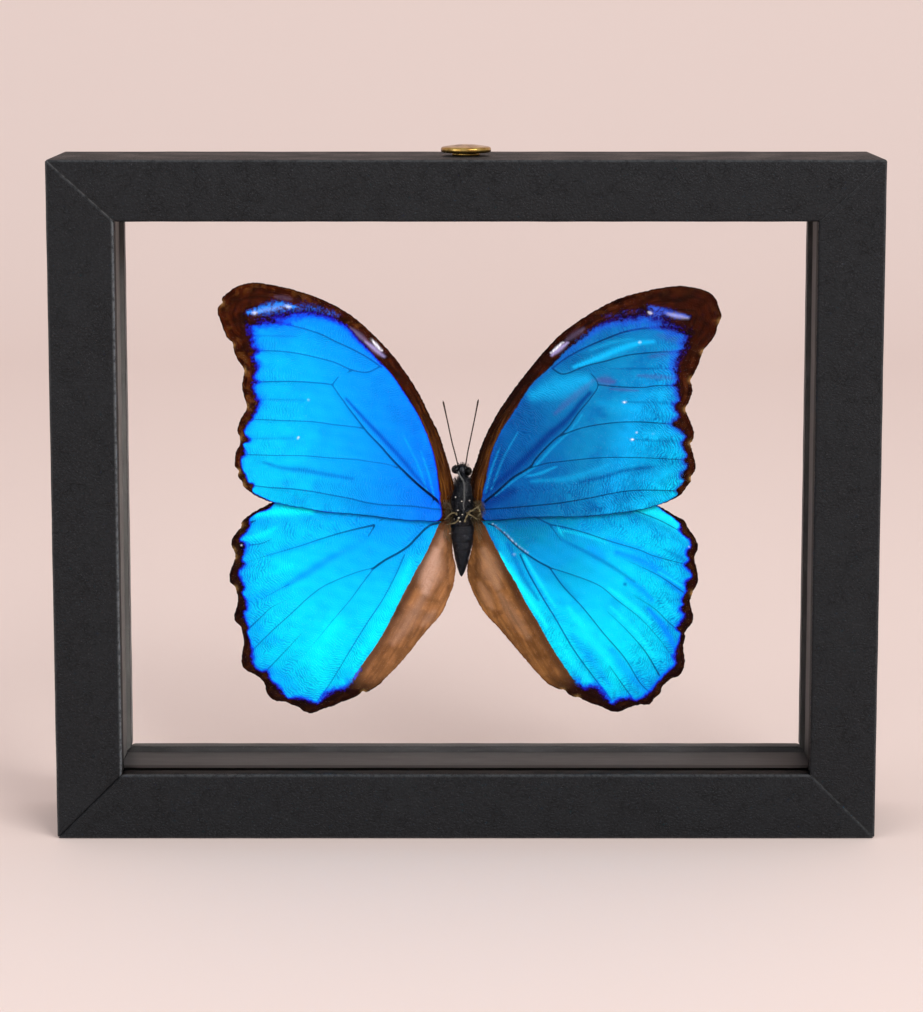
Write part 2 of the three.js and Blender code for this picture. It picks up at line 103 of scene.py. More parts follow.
def spline(points, step, closed=False):
    """A centripetal Catmull-Rom curve through 2-D or 3-D points, resampled at about step."""
    p = np.asarray(points, float)
    if closed:
        p = np.vstack([p[-1], p, p[0], p[1]])
    else:
        p = np.vstack([2 * p[0] - p[1], p, 2 * p[-1] - p[-2]])
    curve = []
    for i in range(1, len(p) - 2):
        a, b, c, d = p[i - 1 : i + 3]
        t1 = max(np.linalg.norm(b - a), 1e-6) ** 0.5
        t2 = t1 + max(np.linalg.norm(c - b), 1e-6) ** 0.5
        t3 = t2 + max(np.linalg.norm(d - c), 1e-6) ** 0.5
        t = np.linspace(t1, t2, max(int(np.linalg.norm(c - b) / (step / 3)), 2), endpoint=False)[:, None]
        a1 = (t1 - t) / t1 * a + t / t1 * b
        a2 = (t2 - t) / (t2 - t1) * b + (t - t1) / (t2 - t1) * c
        a3 = (t3 - t) / (t3 - t2) * c + (t - t2) / (t3 - t2) * d
        b1 = (t2 - t) / t2 * a1 + t / t2 * a2
        b2 = (t3 - t) / (t3 - t1) * a2 + (t - t1) / (t3 - t1) * a3
        curve.append((t2 - t) / (t2 - t1) * b1 + (t - t1) / (t2 - t1) * b2)
    curve = np.vstack(curve + [p[-2][None]])
    length = np.concatenate([[0], np.cumsum(np.linalg.norm(np.diff(curve, axis=0), axis=1))])
    count = max(int(round(length[-1] / step)), 2)
    wanted = np.linspace(0, length[-1], count + 1)
    out = np.stack([np.interp(wanted, length, curve[:, k]) for k in range(p.shape[1])], axis=1)
    return out[:-1] if closed else out


def to_segments(points, line, closed=False):
    """For each point: distance to a polyline, signed side of it and place along it from 0 to 1."""
    a = line
    b = np.roll(line, -1, axis=0)
    if not closed:
        a, b = line[:-1], line[1:]
    ab = b - a
    length2 = np.maximum((ab**2).sum(1), 1e-12)
    best = np.full(len(points), 1e9)
    side = np.zeros(len(points))
    place = np.zeros(len(points))
    for i in range(len(a)):
        ap = points - a[i]
        t = np.clip(ap @ ab[i] / length2[i], 0, 1)
        away = ap - t[:, None] * ab[i]
        d = np.sqrt((away**2).sum(1))
        closer = d < best
        best[closer] = d[closer]
        cross = ab[i][0] * ap[:, 1] - ab[i][1] * ap[:, 0]
        side[closer] = np.sign(cross)[closer]
        place[closer] = ((i + t) / len(a))[closer]
    return best, side, place


def inside(points, loop):
    """Which points lie inside a closed loop."""
    x, y = points[:, 0], points[:, 1]
    result = np.zeros(len(points), bool)
    for (x1, y1), (x2, y2) in zip(loop, np.roll(loop, -1, axis=0)):
        crosses = ((y1 > y) != (y2 > y)) & (x < (x2 - x1) * (y - y1) / (y2 - y1 + 1e-12) + x1)
        result ^= crosses
    return result


def ring_faces(rings, sides):
    """The faces that skin a stack of rings and close both its ends."""
    faces = []
    for i in range(rings - 1):
        for k in range(sides):
            a, b = i * sides + k, i * sides + (k + 1) % sides
            faces.append((a, a + sides, b + sides, b))
    faces.append(tuple(range(sides)))
    faces.append(tuple((rings - 1) * sides + k for k in range(sides))[::-1])
    return faces


def tube_mesh(path, radii, sides):
    """Vertices and faces of a closed round tube along a 3-D path."""
    path = np.asarray(path, float)
    tangents = np.gradient(path, axis=0)
    tangents /= np.linalg.norm(tangents, axis=1)[:, None]
    across = np.cross(tangents[0], [0.31, 0.87, 0.11])
    across /= np.linalg.norm(across)
    verts = []
    for i, (centre, tangent) in enumerate(zip(path, tangents)):
        across = across - tangent * (across @ tangent)
        across /= np.linalg.norm(across)
        other = np.cross(tangent, across)
        for k in range(sides):
            angle = 2 * math.pi * k / sides
            verts.append(centre + radii[i] * (math.cos(angle) * across + math.sin(angle) * other))
    return verts, [face[::-1] for face in ring_faces(len(path), sides)]


def joined(parts):
    """Several (verts, faces) as one."""
    verts, faces = [], []
    for v, f in parts:
        base = len(verts)
        verts.extend(v)
        faces.extend(tuple(base + i for i in face) for face in f)
    return verts, faces


# ---- Materials ---------------------------------------------------------------------------------

# The sizes of the patterns, in millimetres. Each texture works in millimetres at a scale of 1 / size.
GRAIN, PIT, FLECK = 0.5263, 0.7692, 0.3226  # the grain pressed in the wrap, its pits and pale flecks
FOLD, FOLD_BEND, FOLD_GAP = 2.0, 1.667, 4.545  # its creases, how soon they bend and how far apart
WRAP_CLOUD, RUB = 11.11, 1.25  # its duller patches, and the breaks in a rubbed fold
# The tooth of the board is 0.1 mm, too fine to show, and is drawn three times as coarse.
BOARD_STREAK, BOARD_TOOTH = 1.25, 0.3333
DUST = 20.0  # drifts of dust on the glass
# The brass's stains, and the step between its tool rings: that is 0.08 mm, too fine to show, and is
# drawn twice as coarse.
PATINA, TURNING = 2.5, 0.1667
# A real scale is 0.1 mm wide and its rows are 0.2 mm apart. Both are too fine to show, so a scale is
# drawn 0.37 mm wide and a row at tones["row_gap"], three times as coarse as the real ones.
SCALE_WIDTH, SPECKLE = 0.3704, 0.2941
ROW_BEND, ROW_RIPPLE, ROW_PATCH = 3.333, 1.176, 3.571  # how the rows bend, ripple and come and go
WRINKLE, WRINKLE_BEND = 1.613, 2.0  # the membrane between two wrinkles, and how soon they bend
CLOUD, BLOTCH, MARK = 7.692, 2.857, 2.0  # dull clouds on the blue, blotches and pale marks on the brown
UNDERSIDE_GRAIN = 0.625  # its scales, drawn six times as coarse as they are so that they show
TOOTH, FRAY, STRAND = 1.053, 0.909, 1.25  # teeth of the border, fraying of stray blue, lie of the silk

SMOOTH = {"interpolation_type": "SMOOTHSTEP"}
COLOUR = {"data_type": "RGBA"}
EDGES = {"feature": "DISTANCE_TO_EDGE"}


def add(tree, kind, *values, out=None, stops=(), **settings):
    """Adds a node and gives its output named out, or else its first open one.

    Values fill the open sockets in order. A setting that starts with a capital fills the socket of
    that name, and any other is a property. Stops are a ramp's places, each with a hex or a grey.
    """
    node = tree.nodes.new(kind if kind.startswith(("Geometry", "Function")) else "ShaderNode" + kind)
    for key, value in settings.items():
        if not key[0].isupper():
            setattr(node, key, value)
    for i, (position, tone) in enumerate(stops):
        elements = node.color_ramp.elements
        element = elements[i] if i < 2 else elements.new(position)
        element.position = position
        element.color = linear(tone) if isinstance(tone, str) else (tone, tone, tone, 1)
    filled = list(zip([socket for socket in node.inputs if socket.enabled], values))
    filled += [(node.inputs[key], value) for key, value in settings.items() if key[0].isupper()]
    for socket, value in filled:
        if isinstance(value, bpy.types.NodeSocket):
            tree.links.new(value, socket)
        else:
            socket.default_value = value
    return node.outputs[out] if out else next(socket for socket in node.outputs if socket.enabled)


def new_material(name):
    """A material, its tree and surface, and the place on the object in millimetres."""
    material = bpy.data.materials.new(name)
    material.use_nodes = True
    tree = material.node_tree
    place = add(tree, "Mapping", add(tree, "TexCoord", out="Object"), Scale=[1 / MM] * 3)
    return material, tree, tree.nodes["Principled BSDF"], place


def leatherette():
    """Leatherette, its grain pressed in by a roller and wrapped round the moulding while soft.

    The eye gets a dull near-black with fine pits, wandering creases darkened as painted shade, and pale
    broken lines where the sharpest folds are scuffed and catch the light: part scuffing, part painted
    highlight.
    """
    material, tree, shader, place = new_material("pressed_leatherette")
    grain = add(tree, "TexNoise", place, 1 / GRAIN, 3.0, 0.65)
    pits = add(tree, "TexVoronoi", place, 1 / PIT, **EDGES)
    clouds = add(tree, "TexNoise", place, 1 / WRAP_CLOUD)
    flecks = add(tree, "MapRange", add(tree, "TexNoise", place, 1 / FLECK, 2.0, 0.7), 0.6, 0.74, **SMOOTH)
    bent = add(tree, "TexNoise", place, 1 / FOLD_BEND, out="Color")
    bent = add(tree, "VectorMath", bent, (2.6, 2.6, 2.6), place, operation="MULTIPLY_ADD")
    creases = add(tree, "TexVoronoi", bent, 1 / FOLD, **EDGES)
    creases = add(tree, "MapRange", creases, 0.07, 0.0, **SMOOTH)
    sparse = add(tree, "MapRange", add(tree, "TexNoise", place, 1 / FOLD_GAP), 0.46, 0.62, **SMOOTH)
    folds = add(tree, "Math", creases, sparse, operation="MULTIPLY")
    broken = add(tree, "TexNoise", place, 1 / RUB, 3.0, 0.7)
    broken = add(tree, "MapRange", broken, 0.34, 0.58, 0.25, 1.0, **SMOOTH)
    wear_and_highlight = add(tree, "Attribute", attribute_name="wear_and_highlight", out="Fac")
    body = add(tree, "ValToRGB", grain, stops=[(0.3, "08090c"), (0.7, "191b1e")])
    # Over the grain go pale flecks, creases darkened as painted shade, duller clouds, and pale lines that are
    # part scuffing and part painted highlight.
    for share, tone in (
        (add(tree, "Math", flecks, 0.34, operation="MULTIPLY"), "5a5c60"),
        (add(tree, "Math", folds, 0.6, operation="MULTIPLY"), "030304"),
        (add(tree, "MapRange", clouds, 0.45, 0.75, 0.0, 0.22, **SMOOTH), "242628"),
        (add(tree, "Math", wear_and_highlight, broken, operation="MULTIPLY"), "7c8082"),
    ):
        body = add(tree, "Mix", share, body, linear(tone), **COLOUR)
    tree.links.new(body, shader.inputs["Base Color"])
    rough = add(tree, "MapRange", clouds, 0.3, 0.7, 0.46, 0.6, **SMOOTH)
    tree.links.new(rough, shader.inputs["Roughness"])
    shader.inputs["Specular IOR Level"].default_value = 0.2
    height = add(tree, "MapRange", pits, 0.0, 0.25, **SMOOTH)
    height = add(tree, "Math", height, 0.6, grain, operation="MULTIPLY_ADD")
    height = add(tree, "Math", folds, -0.7, height, operation="MULTIPLY_ADD")
    relief = add(tree, "Bump", Height=height, Strength=0.9, Distance=0.16 * MM)
    tree.links.new(relief, shader.inputs["Normal"])
    return material


def spacer_board(side, dark, light, shadow_depth):
    """Grey board, calendered smooth and cut in strips: satin, with faint streaks along the strip.

    Its first millimetres behind the front pane, as many as the last argument gives, are black: painted shade
    cast by the lip.
    """
    material, tree, shader, place = new_material("calendered_greyboard_shaded_by_side_" + side)
    streaks = add(tree, "Mapping", place, Scale=(0.12, 1.0, 0.12))
    streaks = add(tree, "TexNoise", streaks, 1 / BOARD_STREAK, 3.0)
    tone = add(tree, "ValToRGB", streaks, stops=[(0.3, dark), (0.7, light)])
    depth = add(tree, "SeparateXYZ", place, out="Y")
    shadow_end = depth_to_y(PANE_DEPTH) + shadow_depth
    in_lip_shadow = add(tree, "MapRange", depth, shadow_end + 0.3, shadow_end - 0.3, **SMOOTH)
    tone = add(tree, "Mix", in_lip_shadow, tone, linear("070707"), **COLOUR)
    tree.links.new(tone, shader.inputs["Base Color"])
    shader.inputs["Roughness"].default_value = 0.5
    shader.inputs["Specular IOR Level"].default_value = 0.12
    tooth = add(tree, "TexNoise", place, 1 / BOARD_TOOTH)
    relief = add(tree, "Bump", Height=tooth, Strength=0.15, Distance=0.05 * MM)
    tree.links.new(relief, shader.inputs["Normal"])
    return material


def clear_pane():
    """Glass, floated flat and coated against glare: clear, with a trace of dust and hardly a gleam.

    Float glass has an IOR of 1.52. The coating takes nearly all of the reflection, so 1.045 stands in.
    """
    material, tree, shader, place = new_material("floated_glass")
    shader.inputs["Base Color"].default_value = linear("ffffff")
    shader.inputs["Transmission Weight"].default_value = 1.0
    shader.inputs["IOR"].default_value = 1.045
    dust = add(tree, "TexNoise", place, 1 / DUST, 3.0)
    dust = add(tree, "MapRange", dust, 0.4, 0.8, 0.0, 0.004, **SMOOTH)
    tree.links.new(dust, shader.inputs["Roughness"])
    return material


def turned_brass():
    """Brass, turned on a lathe: a warm metal gleam broken by tool rings, brown where it has aged."""
    material, tree, shader, place = new_material("turned_brass")
    patina = add(tree, "TexNoise", place, 1 / PATINA, 3.0)
    tone = add(tree, "ValToRGB", patina, stops=[(0.3, "6e4c26"), (0.5, "a88444"), (0.8, "d2b66c")])
    tree.links.new(tone, shader.inputs["Base Color"])
    shader.inputs["Metallic"].default_value = 1.0
    rough = add(tree, "MapRange", patina, 0.3, 0.7, 0.3, 0.16, **SMOOTH)
    tree.links.new(rough, shader.inputs["Roughness"])
    rings = add(tree, "Mapping", place, Scale=(0.05, 0.05, 1 / TURNING))
    rings = add(tree, "TexNoise", rings, 1.0)
    relief = add(tree, "Bump", Height=rings, Strength=0.1, Distance=0.02 * MM)
    tree.links.new(relief, shader.inputs["Normal"])
    return material


WING_MARKS = (
    "rim", "field", "root", "vein", "bold", "fold", "gleam", "stain", "bright", "anal", "notch", "sheen",
    "crease_shade", "tip", "haze", "glint_highlight",
)


def wing_scales(name, tones):
    """Butterfly wing, grown as a clear membrane shingled with ridged scales.

    The eye gets a matt blue with fine wavering rows and dark veins, which gives way scale by scale,
    through violet, to a dark brown border, and to a brown silk of long scales beside the body.
    """
    material, tree, shader, place = new_material("grown_scales_" + name)
    marked = {mark: add(tree, "Attribute", attribute_name=mark, out="Fac") for mark in WING_MARKS}
    rim, field, root, vein, bold, fold, gleam, stain = [marked[mark] for mark in WING_MARKS[:8]]
    bright, anal, notch, sheen, crease_shade, tip, haze, glint_highlight = [marked[mark] for mark in WING_MARKS[8:]]
    speckle = add(tree, "TexNoise", place, 1 / SPECKLE, 2.0, 0.7)
    each_scale = add(tree, "TexVoronoi", place, 1 / SCALE_WIDTH, out="Color")
    # Rows of scales cross the wing as wavering arcs that bend back between the veins.
    bend = add(tree, "Math", vein, 3.0, operation="MINIMUM")
    bend = add(tree, "Math", bend, -0.55, root, operation="MULTIPLY_ADD")
    waver = add(tree, "TexNoise", place, 1 / ROW_BEND)
    bend = add(tree, "Math", waver, tones["waver"], bend, operation="MULTIPLY_ADD")
    ripple = add(tree, "TexNoise", place, 1 / ROW_RIPPLE, 1.0)
    bend = add(tree, "Math", ripple, bend, operation="ADD")
    rows = add(tree, "Math", bend, 2 * math.pi / tones["row_gap"], operation="MULTIPLY")
    rows = add(tree, "Math", rows, operation="SINE")
    rows = add(tree, "Math", rows, 0.5, 0.5, operation="MULTIPLY_ADD")
    rows = add(tree, "Math", rows, 1.6, operation="POWER")
    near_margin = add(tree, "MapRange", rim, 19.0, 5.0, 0.12, 1.0, **SMOOTH)
    uneven = add(tree, "TexNoise", place, 1 / ROW_PATCH)
    uneven = add(tree, "MapRange", uneven, 0.36, 0.62, 0.35, 1.0, **SMOOTH)
    strength = add(tree, "Math", near_margin, uneven, operation="MULTIPLY")
    relief = add(tree, "Math", rows, strength, operation="MULTIPLY")
    # Wrinkles branch across the membrane, most of all towards the margin, darkened as painted shade.
    drift = add(tree, "TexNoise", place, 1 / WRINKLE_BEND, out="Color")
    drift = add(tree, "VectorMath", drift, (2.2, 2.2, 2.2), place, operation="MULTIPLY_ADD")
    wrinkle = add(tree, "TexVoronoi", drift, 1 / WRINKLE, **EDGES)
    wrinkle = add(tree, "MapRange", wrinkle, 0.1, 0.0, 0.0, tones["crease_shade"], **SMOOTH)
    wrinkle = add(tree, "Math", wrinkle, strength, operation="MULTIPLY")
    # Blue, deep by the root and leading edge and brightest by the rear corner, under its rows, clouds
    # and veins, its wrinkles and furrows darkened as painted shade, and its glints and bright streaks
    # painted as highlights.
    clouds = add(tree, "TexNoise", place, 1 / CLOUD, 3.0, 0.6)
    # Pale speckle glints in the "light" tone are painted highlights.
    glint = add(tree, "MapRange", speckle, 0.62, 0.8, 0.0, tones["glint"], **SMOOTH)
    patchy = add(tree, "MapRange", speckle, 0.2, 0.6, 0.6, 1.0, **SMOOTH)
    ragged = add(tree, "Math", speckle, 0.12, vein, operation="MULTIPLY_ADD")
    line = add(tree, "Mix", bold, linear(tones["vein"]), linear(tones["bold_vein"]), **COLOUR)
    shown = add(tree, "Math", bold, 0.25, tones["vein_share"], operation="MULTIPLY_ADD")
    on_vein = add(tree, "MapRange", ragged, 0.15, -0.02, **SMOOTH)
    blue = add(tree, "Math", bright, 90.0, operation="DIVIDE")
    blue = add(tree, "ValToRGB", blue, stops=tones["blue"])
    for share, tone in (
        (add(tree, "MapRange", clouds, 0.42, 0.7, 0.0, tones["patch"], **SMOOTH), linear(tones["shade"])),
        (add(tree, "Math", relief, tones["row"], operation="MULTIPLY"), linear(tones["between"])),
        (add(tree, "MapRange", speckle, 0.5, 0.25, 0.0, 0.3, **SMOOTH), linear(tones["between"])),
        (wrinkle, linear(tones["furrow_shade"])),
        (glint, linear(tones["light"])),
        (stain, linear(tones["stain"])),
        (fold, linear(tones["furrow_shade"])),
        (add(tree, "Math", gleam, patchy, operation="MULTIPLY"), linear(tones["gleam"])),
        (add(tree, "Math", on_vein, shown, operation="MULTIPLY"), line),
        (add(tree, "MapRange", rim, 0.3, 0.05, 0.0, 0.75, **SMOOTH), linear(tones["bold_vein"])),
    ):
        blue = add(tree, "Mix", share, blue, tone, **COLOUR)
    # The border's edge is toothed where it is broad, and pulled out along veins and furrows.
    border = add(tree, "Math", rim, field, operation="SUBTRACT")
    border = add(tree, "Math", border, 4.0, operation="DIVIDE")
    toothless = add(tree, "Math", anal, -0.97, 1.0, operation="MULTIPLY_ADD")
    border = add(tree, "Math", border, toothless, operation="MULTIPLY")
    toothed = add(tree, "MapRange", root, *tones["clean"], 0.2, 1.0, **SMOOTH)
    border = add(tree, "Math", border, toothed, operation="MULTIPLY")
    reach = add(tree, "Clamp", border, 0.1, 1.5)
    teeth = add(tree, "TexNoise", place, 1 / TOOTH, 3.0, 0.75)
    teeth = add(tree, "Math", teeth, 2.8, -1.5, operation="MULTIPLY_ADD")
    pull = add(tree, "Math", fold, 0.8, operation="MULTIPLY")
    pull = add(tree, "Math", add(tree, "MapRange", vein, 0.8, 0.0, **SMOOTH), pull, operation="MAXIMUM")
    teeth = add(tree, "Math", pull, -0.6, teeth, operation="MULTIPLY_ADD")
    edge = add(tree, "Math", teeth, reach, field, operation="MULTIPLY_ADD")
    rough_edge = add(tree, "Math", speckle, 0.4, -0.2, operation="MULTIPLY_ADD")
    edge = add(tree, "Math", edge, rough_edge, operation="ADD")
    scaled = add(tree, "Math", edge, reach, operation="DIVIDE")
    fade = add(tree, "Math", scaled, 3.0, operation="DIVIDE")
    fade = add(tree, "ValToRGB", fade, stops=[(0.02, tones["violet"]), (0.42, tones["indigo"])])
    clean_side = add(tree, "MapRange", root, *tones["clean"], tones["plainness"], 0.0, **SMOOTH)
    clean_side = add(tree, "Math", anal, clean_side, operation="MAXIMUM")
    fade = add(tree, "Mix", clean_side, fade, blue, **COLOUR)
    fringe = add(tree, "MapRange", scaled, 6.0, 1.5, 0.0, tones["fringe"], **SMOOTH)
    blue = add(tree, "Mix", fringe, blue, linear(tones["indigo"]), **COLOUR)
    colour = add(tree, "Mix", add(tree, "MapRange", scaled, 0.4, 2.6, **SMOOTH), fade, blue, **COLOUR)
    # Brown border, streaked along its length and amber beside the body.
    along = add(tree, "CombineXYZ", add(tree, "Math", rim, 2.2, operation="MULTIPLY"), root)
    streak = add(tree, "TexNoise", add(tree, "Mapping", along, Scale=(1, 0.12, 1)), 1.0, 3.0)
    blotch = add(tree, "TexNoise", place, 1 / BLOTCH)
    amber = add(tree, "ValToRGB", streak, stops=[(0.32, "1c0a03"), (0.5, "40220a"), (0.68, "70461a")])
    lead = add(tree, "MapRange", rim, 2.4, 1.0, 0.0, tones["lead"], **SMOOTH)
    lead = add(tree, "Math", lead, add(tree, "MapRange", root, 60.0, 30.0, **SMOOTH), operation="MULTIPLY")
    marks = add(tree, "MapRange", add(tree, "TexNoise", place, 1 / MARK, 3.0, 0.65), 0.47, 0.62, **SMOOTH)
    marks = add(tree, "Math", marks, add(tree, "MapRange", rim, 3.2, 0.8, **SMOOTH), operation="MULTIPLY")
    outer = add(tree, "MapRange", root, 46.0, 54.0, 0.0, tones["marks"], **SMOOTH)
    cream = add(tree, "MapRange", speckle, 0.3, 0.5, 0.0, 0.75, **SMOOTH)
    # Where the sheen strokes lie: a lilac painted highlight on the brown, and the silk's paler sheen tone,
    # also a painted highlight.
    painted_sheen_share = add(tree, "MapRange", speckle, 0.2, 0.6, 0.55, 1.0, **SMOOTH)
    painted_sheen_share = add(tree, "Math", sheen, painted_sheen_share, operation="MULTIPLY")
    stops = [(0.3, tones["dark"]), (0.6, tones["brown"]), (0.8, tones["pale_brown"])]
    brown = add(tree, "ValToRGB", streak, stops=stops)
    for share, tone in (
        (add(tree, "MapRange", blotch, 0.42, 0.68, 0.0, 0.8, **SMOOTH), linear(tones["dark"])),
        (add(tree, "MapRange", root, 36.0, 10.0, 0.0, 0.8, **SMOOTH), amber),
        (add(tree, "MapRange", vein, 0.3, 0.0, 0.0, 0.6, **SMOOTH), linear(tones["dark"])),
        (lead, linear(tones["dark"])),
        (add(tree, "Math", marks, outer, operation="MULTIPLY"), linear(tones["mark"])),
        (add(tree, "MapRange", rim, 0.45, 0.1, 0.0, 0.7, **SMOOTH), linear(tones["dark"])),
        (add(tree, "Math", notch, cream, operation="MULTIPLY"), linear("b48a52")),
        (painted_sheen_share, linear("a49ad0")),
    ):
        brown = add(tree, "Mix", share, brown, tone, **COLOUR)
    # The silky fold beside the body, with its creases darkened as painted shade.
    lie = add(tree, "CombineXYZ", field, add(tree, "Math", root, 0.09, operation="MULTIPLY"))
    strands = add(tree, "TexNoise", lie, 1 / STRAND, 3.0, 0.55)
    silk = add(tree, "ValToRGB", strands, stops=[(0.3, tones["silk_dark"]), (0.65, tones["silk"])])
    for share, tone in (
        (add(tree, "MapRange", blotch, 0.4, 0.62, 0.0, 0.6, **SMOOTH), tones["silk_dark"]),
        (add(tree, "MapRange", field, -2.8, -0.9, 0.0, 0.85, **SMOOTH), tones["silk_edge"]),
        (painted_sheen_share, tones["silk_sheen"]),
        (crease_shade, "3a2212"),
        (tip, "2a160c"),
    ):
        silk = add(tree, "Mix", share, silk, linear(tone), **COLOUR)
    brown = add(tree, "Mix", anal, brown, silk, **COLOUR)
    dusk = add(tree, "Mix", anal, linear(tones["dusk"]), linear(tones["silk_edge"]), **COLOUR)
    brown = add(tree, "Mix", add(tree, "MapRange", scaled, -1.0, 0.2, **SMOOTH), brown, dusk, **COLOUR)
    # A bloom of blue scales strays over the brown, ragged at its edge.
    frayed = add(tree, "TexNoise", place, 1 / FRAY, 3.0, 0.75)
    frayed = add(tree, "Math", frayed, 1.5, 0.25, operation="MULTIPLY_ADD")
    stray = add(tree, "Math", haze, frayed, operation="MULTIPLY")
    mist = add(tree, "Math", each_scale, 0.9, stray, operation="MULTIPLY_ADD")
    bloom = add(tree, "ValToRGB", stray, stops=[(0.25, "180838"), (0.5, tones["dim"]), (0.95, tones["haze"])])
    mist = add(tree, "MapRange", mist, 0.7, 1.3, 0.0, 0.95, **SMOOTH)
    brown = add(tree, "Mix", mist, brown, bloom, **COLOUR)
    cover = add(tree, "MapRange", scaled, -1.2, 1.2, **SMOOTH)
    cover = add(tree, "Math", each_scale, 0.9, cover, operation="MULTIPLY_ADD")
    colour = add(tree, "Mix", add(tree, "MapRange", cover, 0.88, 1.05, **SMOOTH), brown, colour, **COLOUR)
    # Small white painted highlights along the glint strokes.
    colour = add(tree, "Mix", glint_highlight, colour, linear("f4f4ff"), **COLOUR)
    tree.links.new(colour, shader.inputs["Base Color"])
    rough = add(tree, "MapRange", edge, 0.0, 1.0, 0.6, 0.45, **SMOOTH)
    tree.links.new(rough, shader.inputs["Roughness"])
    shader.inputs["Specular IOR Level"].default_value = 0.02
    sunk = add(tree, "Math", wrinkle, -1.2, operation="MULTIPLY")
    height = add(tree, "Math", relief, 1.4, sunk, operation="MULTIPLY_ADD")
    on_blue = add(tree, "MapRange", edge, -0.2, 0.8, 0.12, 1.0, **SMOOTH)
    height = add(tree, "Math", height, on_blue, speckle, operation="MULTIPLY_ADD")
    relief = add(tree, "Bump", Height=height, Strength=0.55, Distance=0.12 * MM)
    tree.links.new(relief, shader.inputs["Normal"])
    return material


def wing_underside():
    """The grown underside of the wing: matt brown scales with pale bands and ringed eyespots."""
    material, tree, shader, place = new_material("grown_scales_underside")
    rim, vein, eye = (
        add(tree, "Attribute", attribute_name=mark, out="Fac") for mark in ("rim", "vein", "eyespot")
    )
    grain = add(tree, "TexNoise", place, 1 / UNDERSIDE_GRAIN, 3.0, 0.65)
    ragged = add(tree, "TexNoise", place, 1 / BLOTCH)
    ragged = add(tree, "Math", ragged, 1.6, rim, operation="MULTIPLY_ADD")
    bands = add(
        tree,
        "ValToRGB",
        add(tree, "Math", ragged, 20.0, operation="DIVIDE"),
        stops=[(0.05, 0.0), (0.10, 0.75), (0.13, 0.0), (0.17, 0.4), (0.2, 0.0), (0.6, 0.35), (0.64, 0.0)],
    )
    rings = add(
        tree,
        "ValToRGB",
        eye,
        stops=[
            (0.0, "f3efe4"), (0.16, "111013"), (0.45, "15121a"), (0.5, "b98a35"), (0.66, "a87a30"),
            (0.72, "241a14"),
        ],
    )
    tone = add(tree, "ValToRGB", grain, stops=[(0.3, "3f2c20"), (0.7, "6a4c37")])
    for share, tint in (
        (bands, linear("b59a78")),
        (add(tree, "MapRange", eye, 0.95, 0.8, **SMOOTH), rings),
        (add(tree, "MapRange", vein, 0.12, 0.0, 0.0, 0.7, **SMOOTH), linear("241811")),
    ):
        tone = add(tree, "Mix", share, tone, tint, **COLOUR)
    tree.links.new(tone, shader.inputs["Base Color"])
    shader.inputs["Roughness"].default_value = 0.7
    relief = add(tree, "Bump", Height=grain, Strength=0.3, Distance=0.06 * MM)
    tree.links.new(relief, shader.inputs["Normal"])
    return material


def mottled(name, dark, light, roughness, size=0.5, specular=0.15, stretch=(1, 1, 1)):
    """A two-tone surface, mottled and raised at a size in millimetres."""
    material, tree, shader, place = new_material(name)
    mottle = add(tree, "Mapping", place, Scale=stretch)
    mottle = add(tree, "TexNoise", mottle, 1 / size, 3.0, 0.6)
    tone = add(tree, "ValToRGB", mottle, stops=[(0.3, dark), (0.7, light)])
    tree.links.new(tone, shader.inputs["Base Color"])
    shader.inputs["Roughness"].default_value = roughness
    shader.inputs["Specular IOR Level"].default_value = specular
    relief = add(tree, "Bump", Height=mottle, Strength=0.5, Distance=0.08 * MM)
    tree.links.new(relief, shader.inputs["Normal"])
    return material
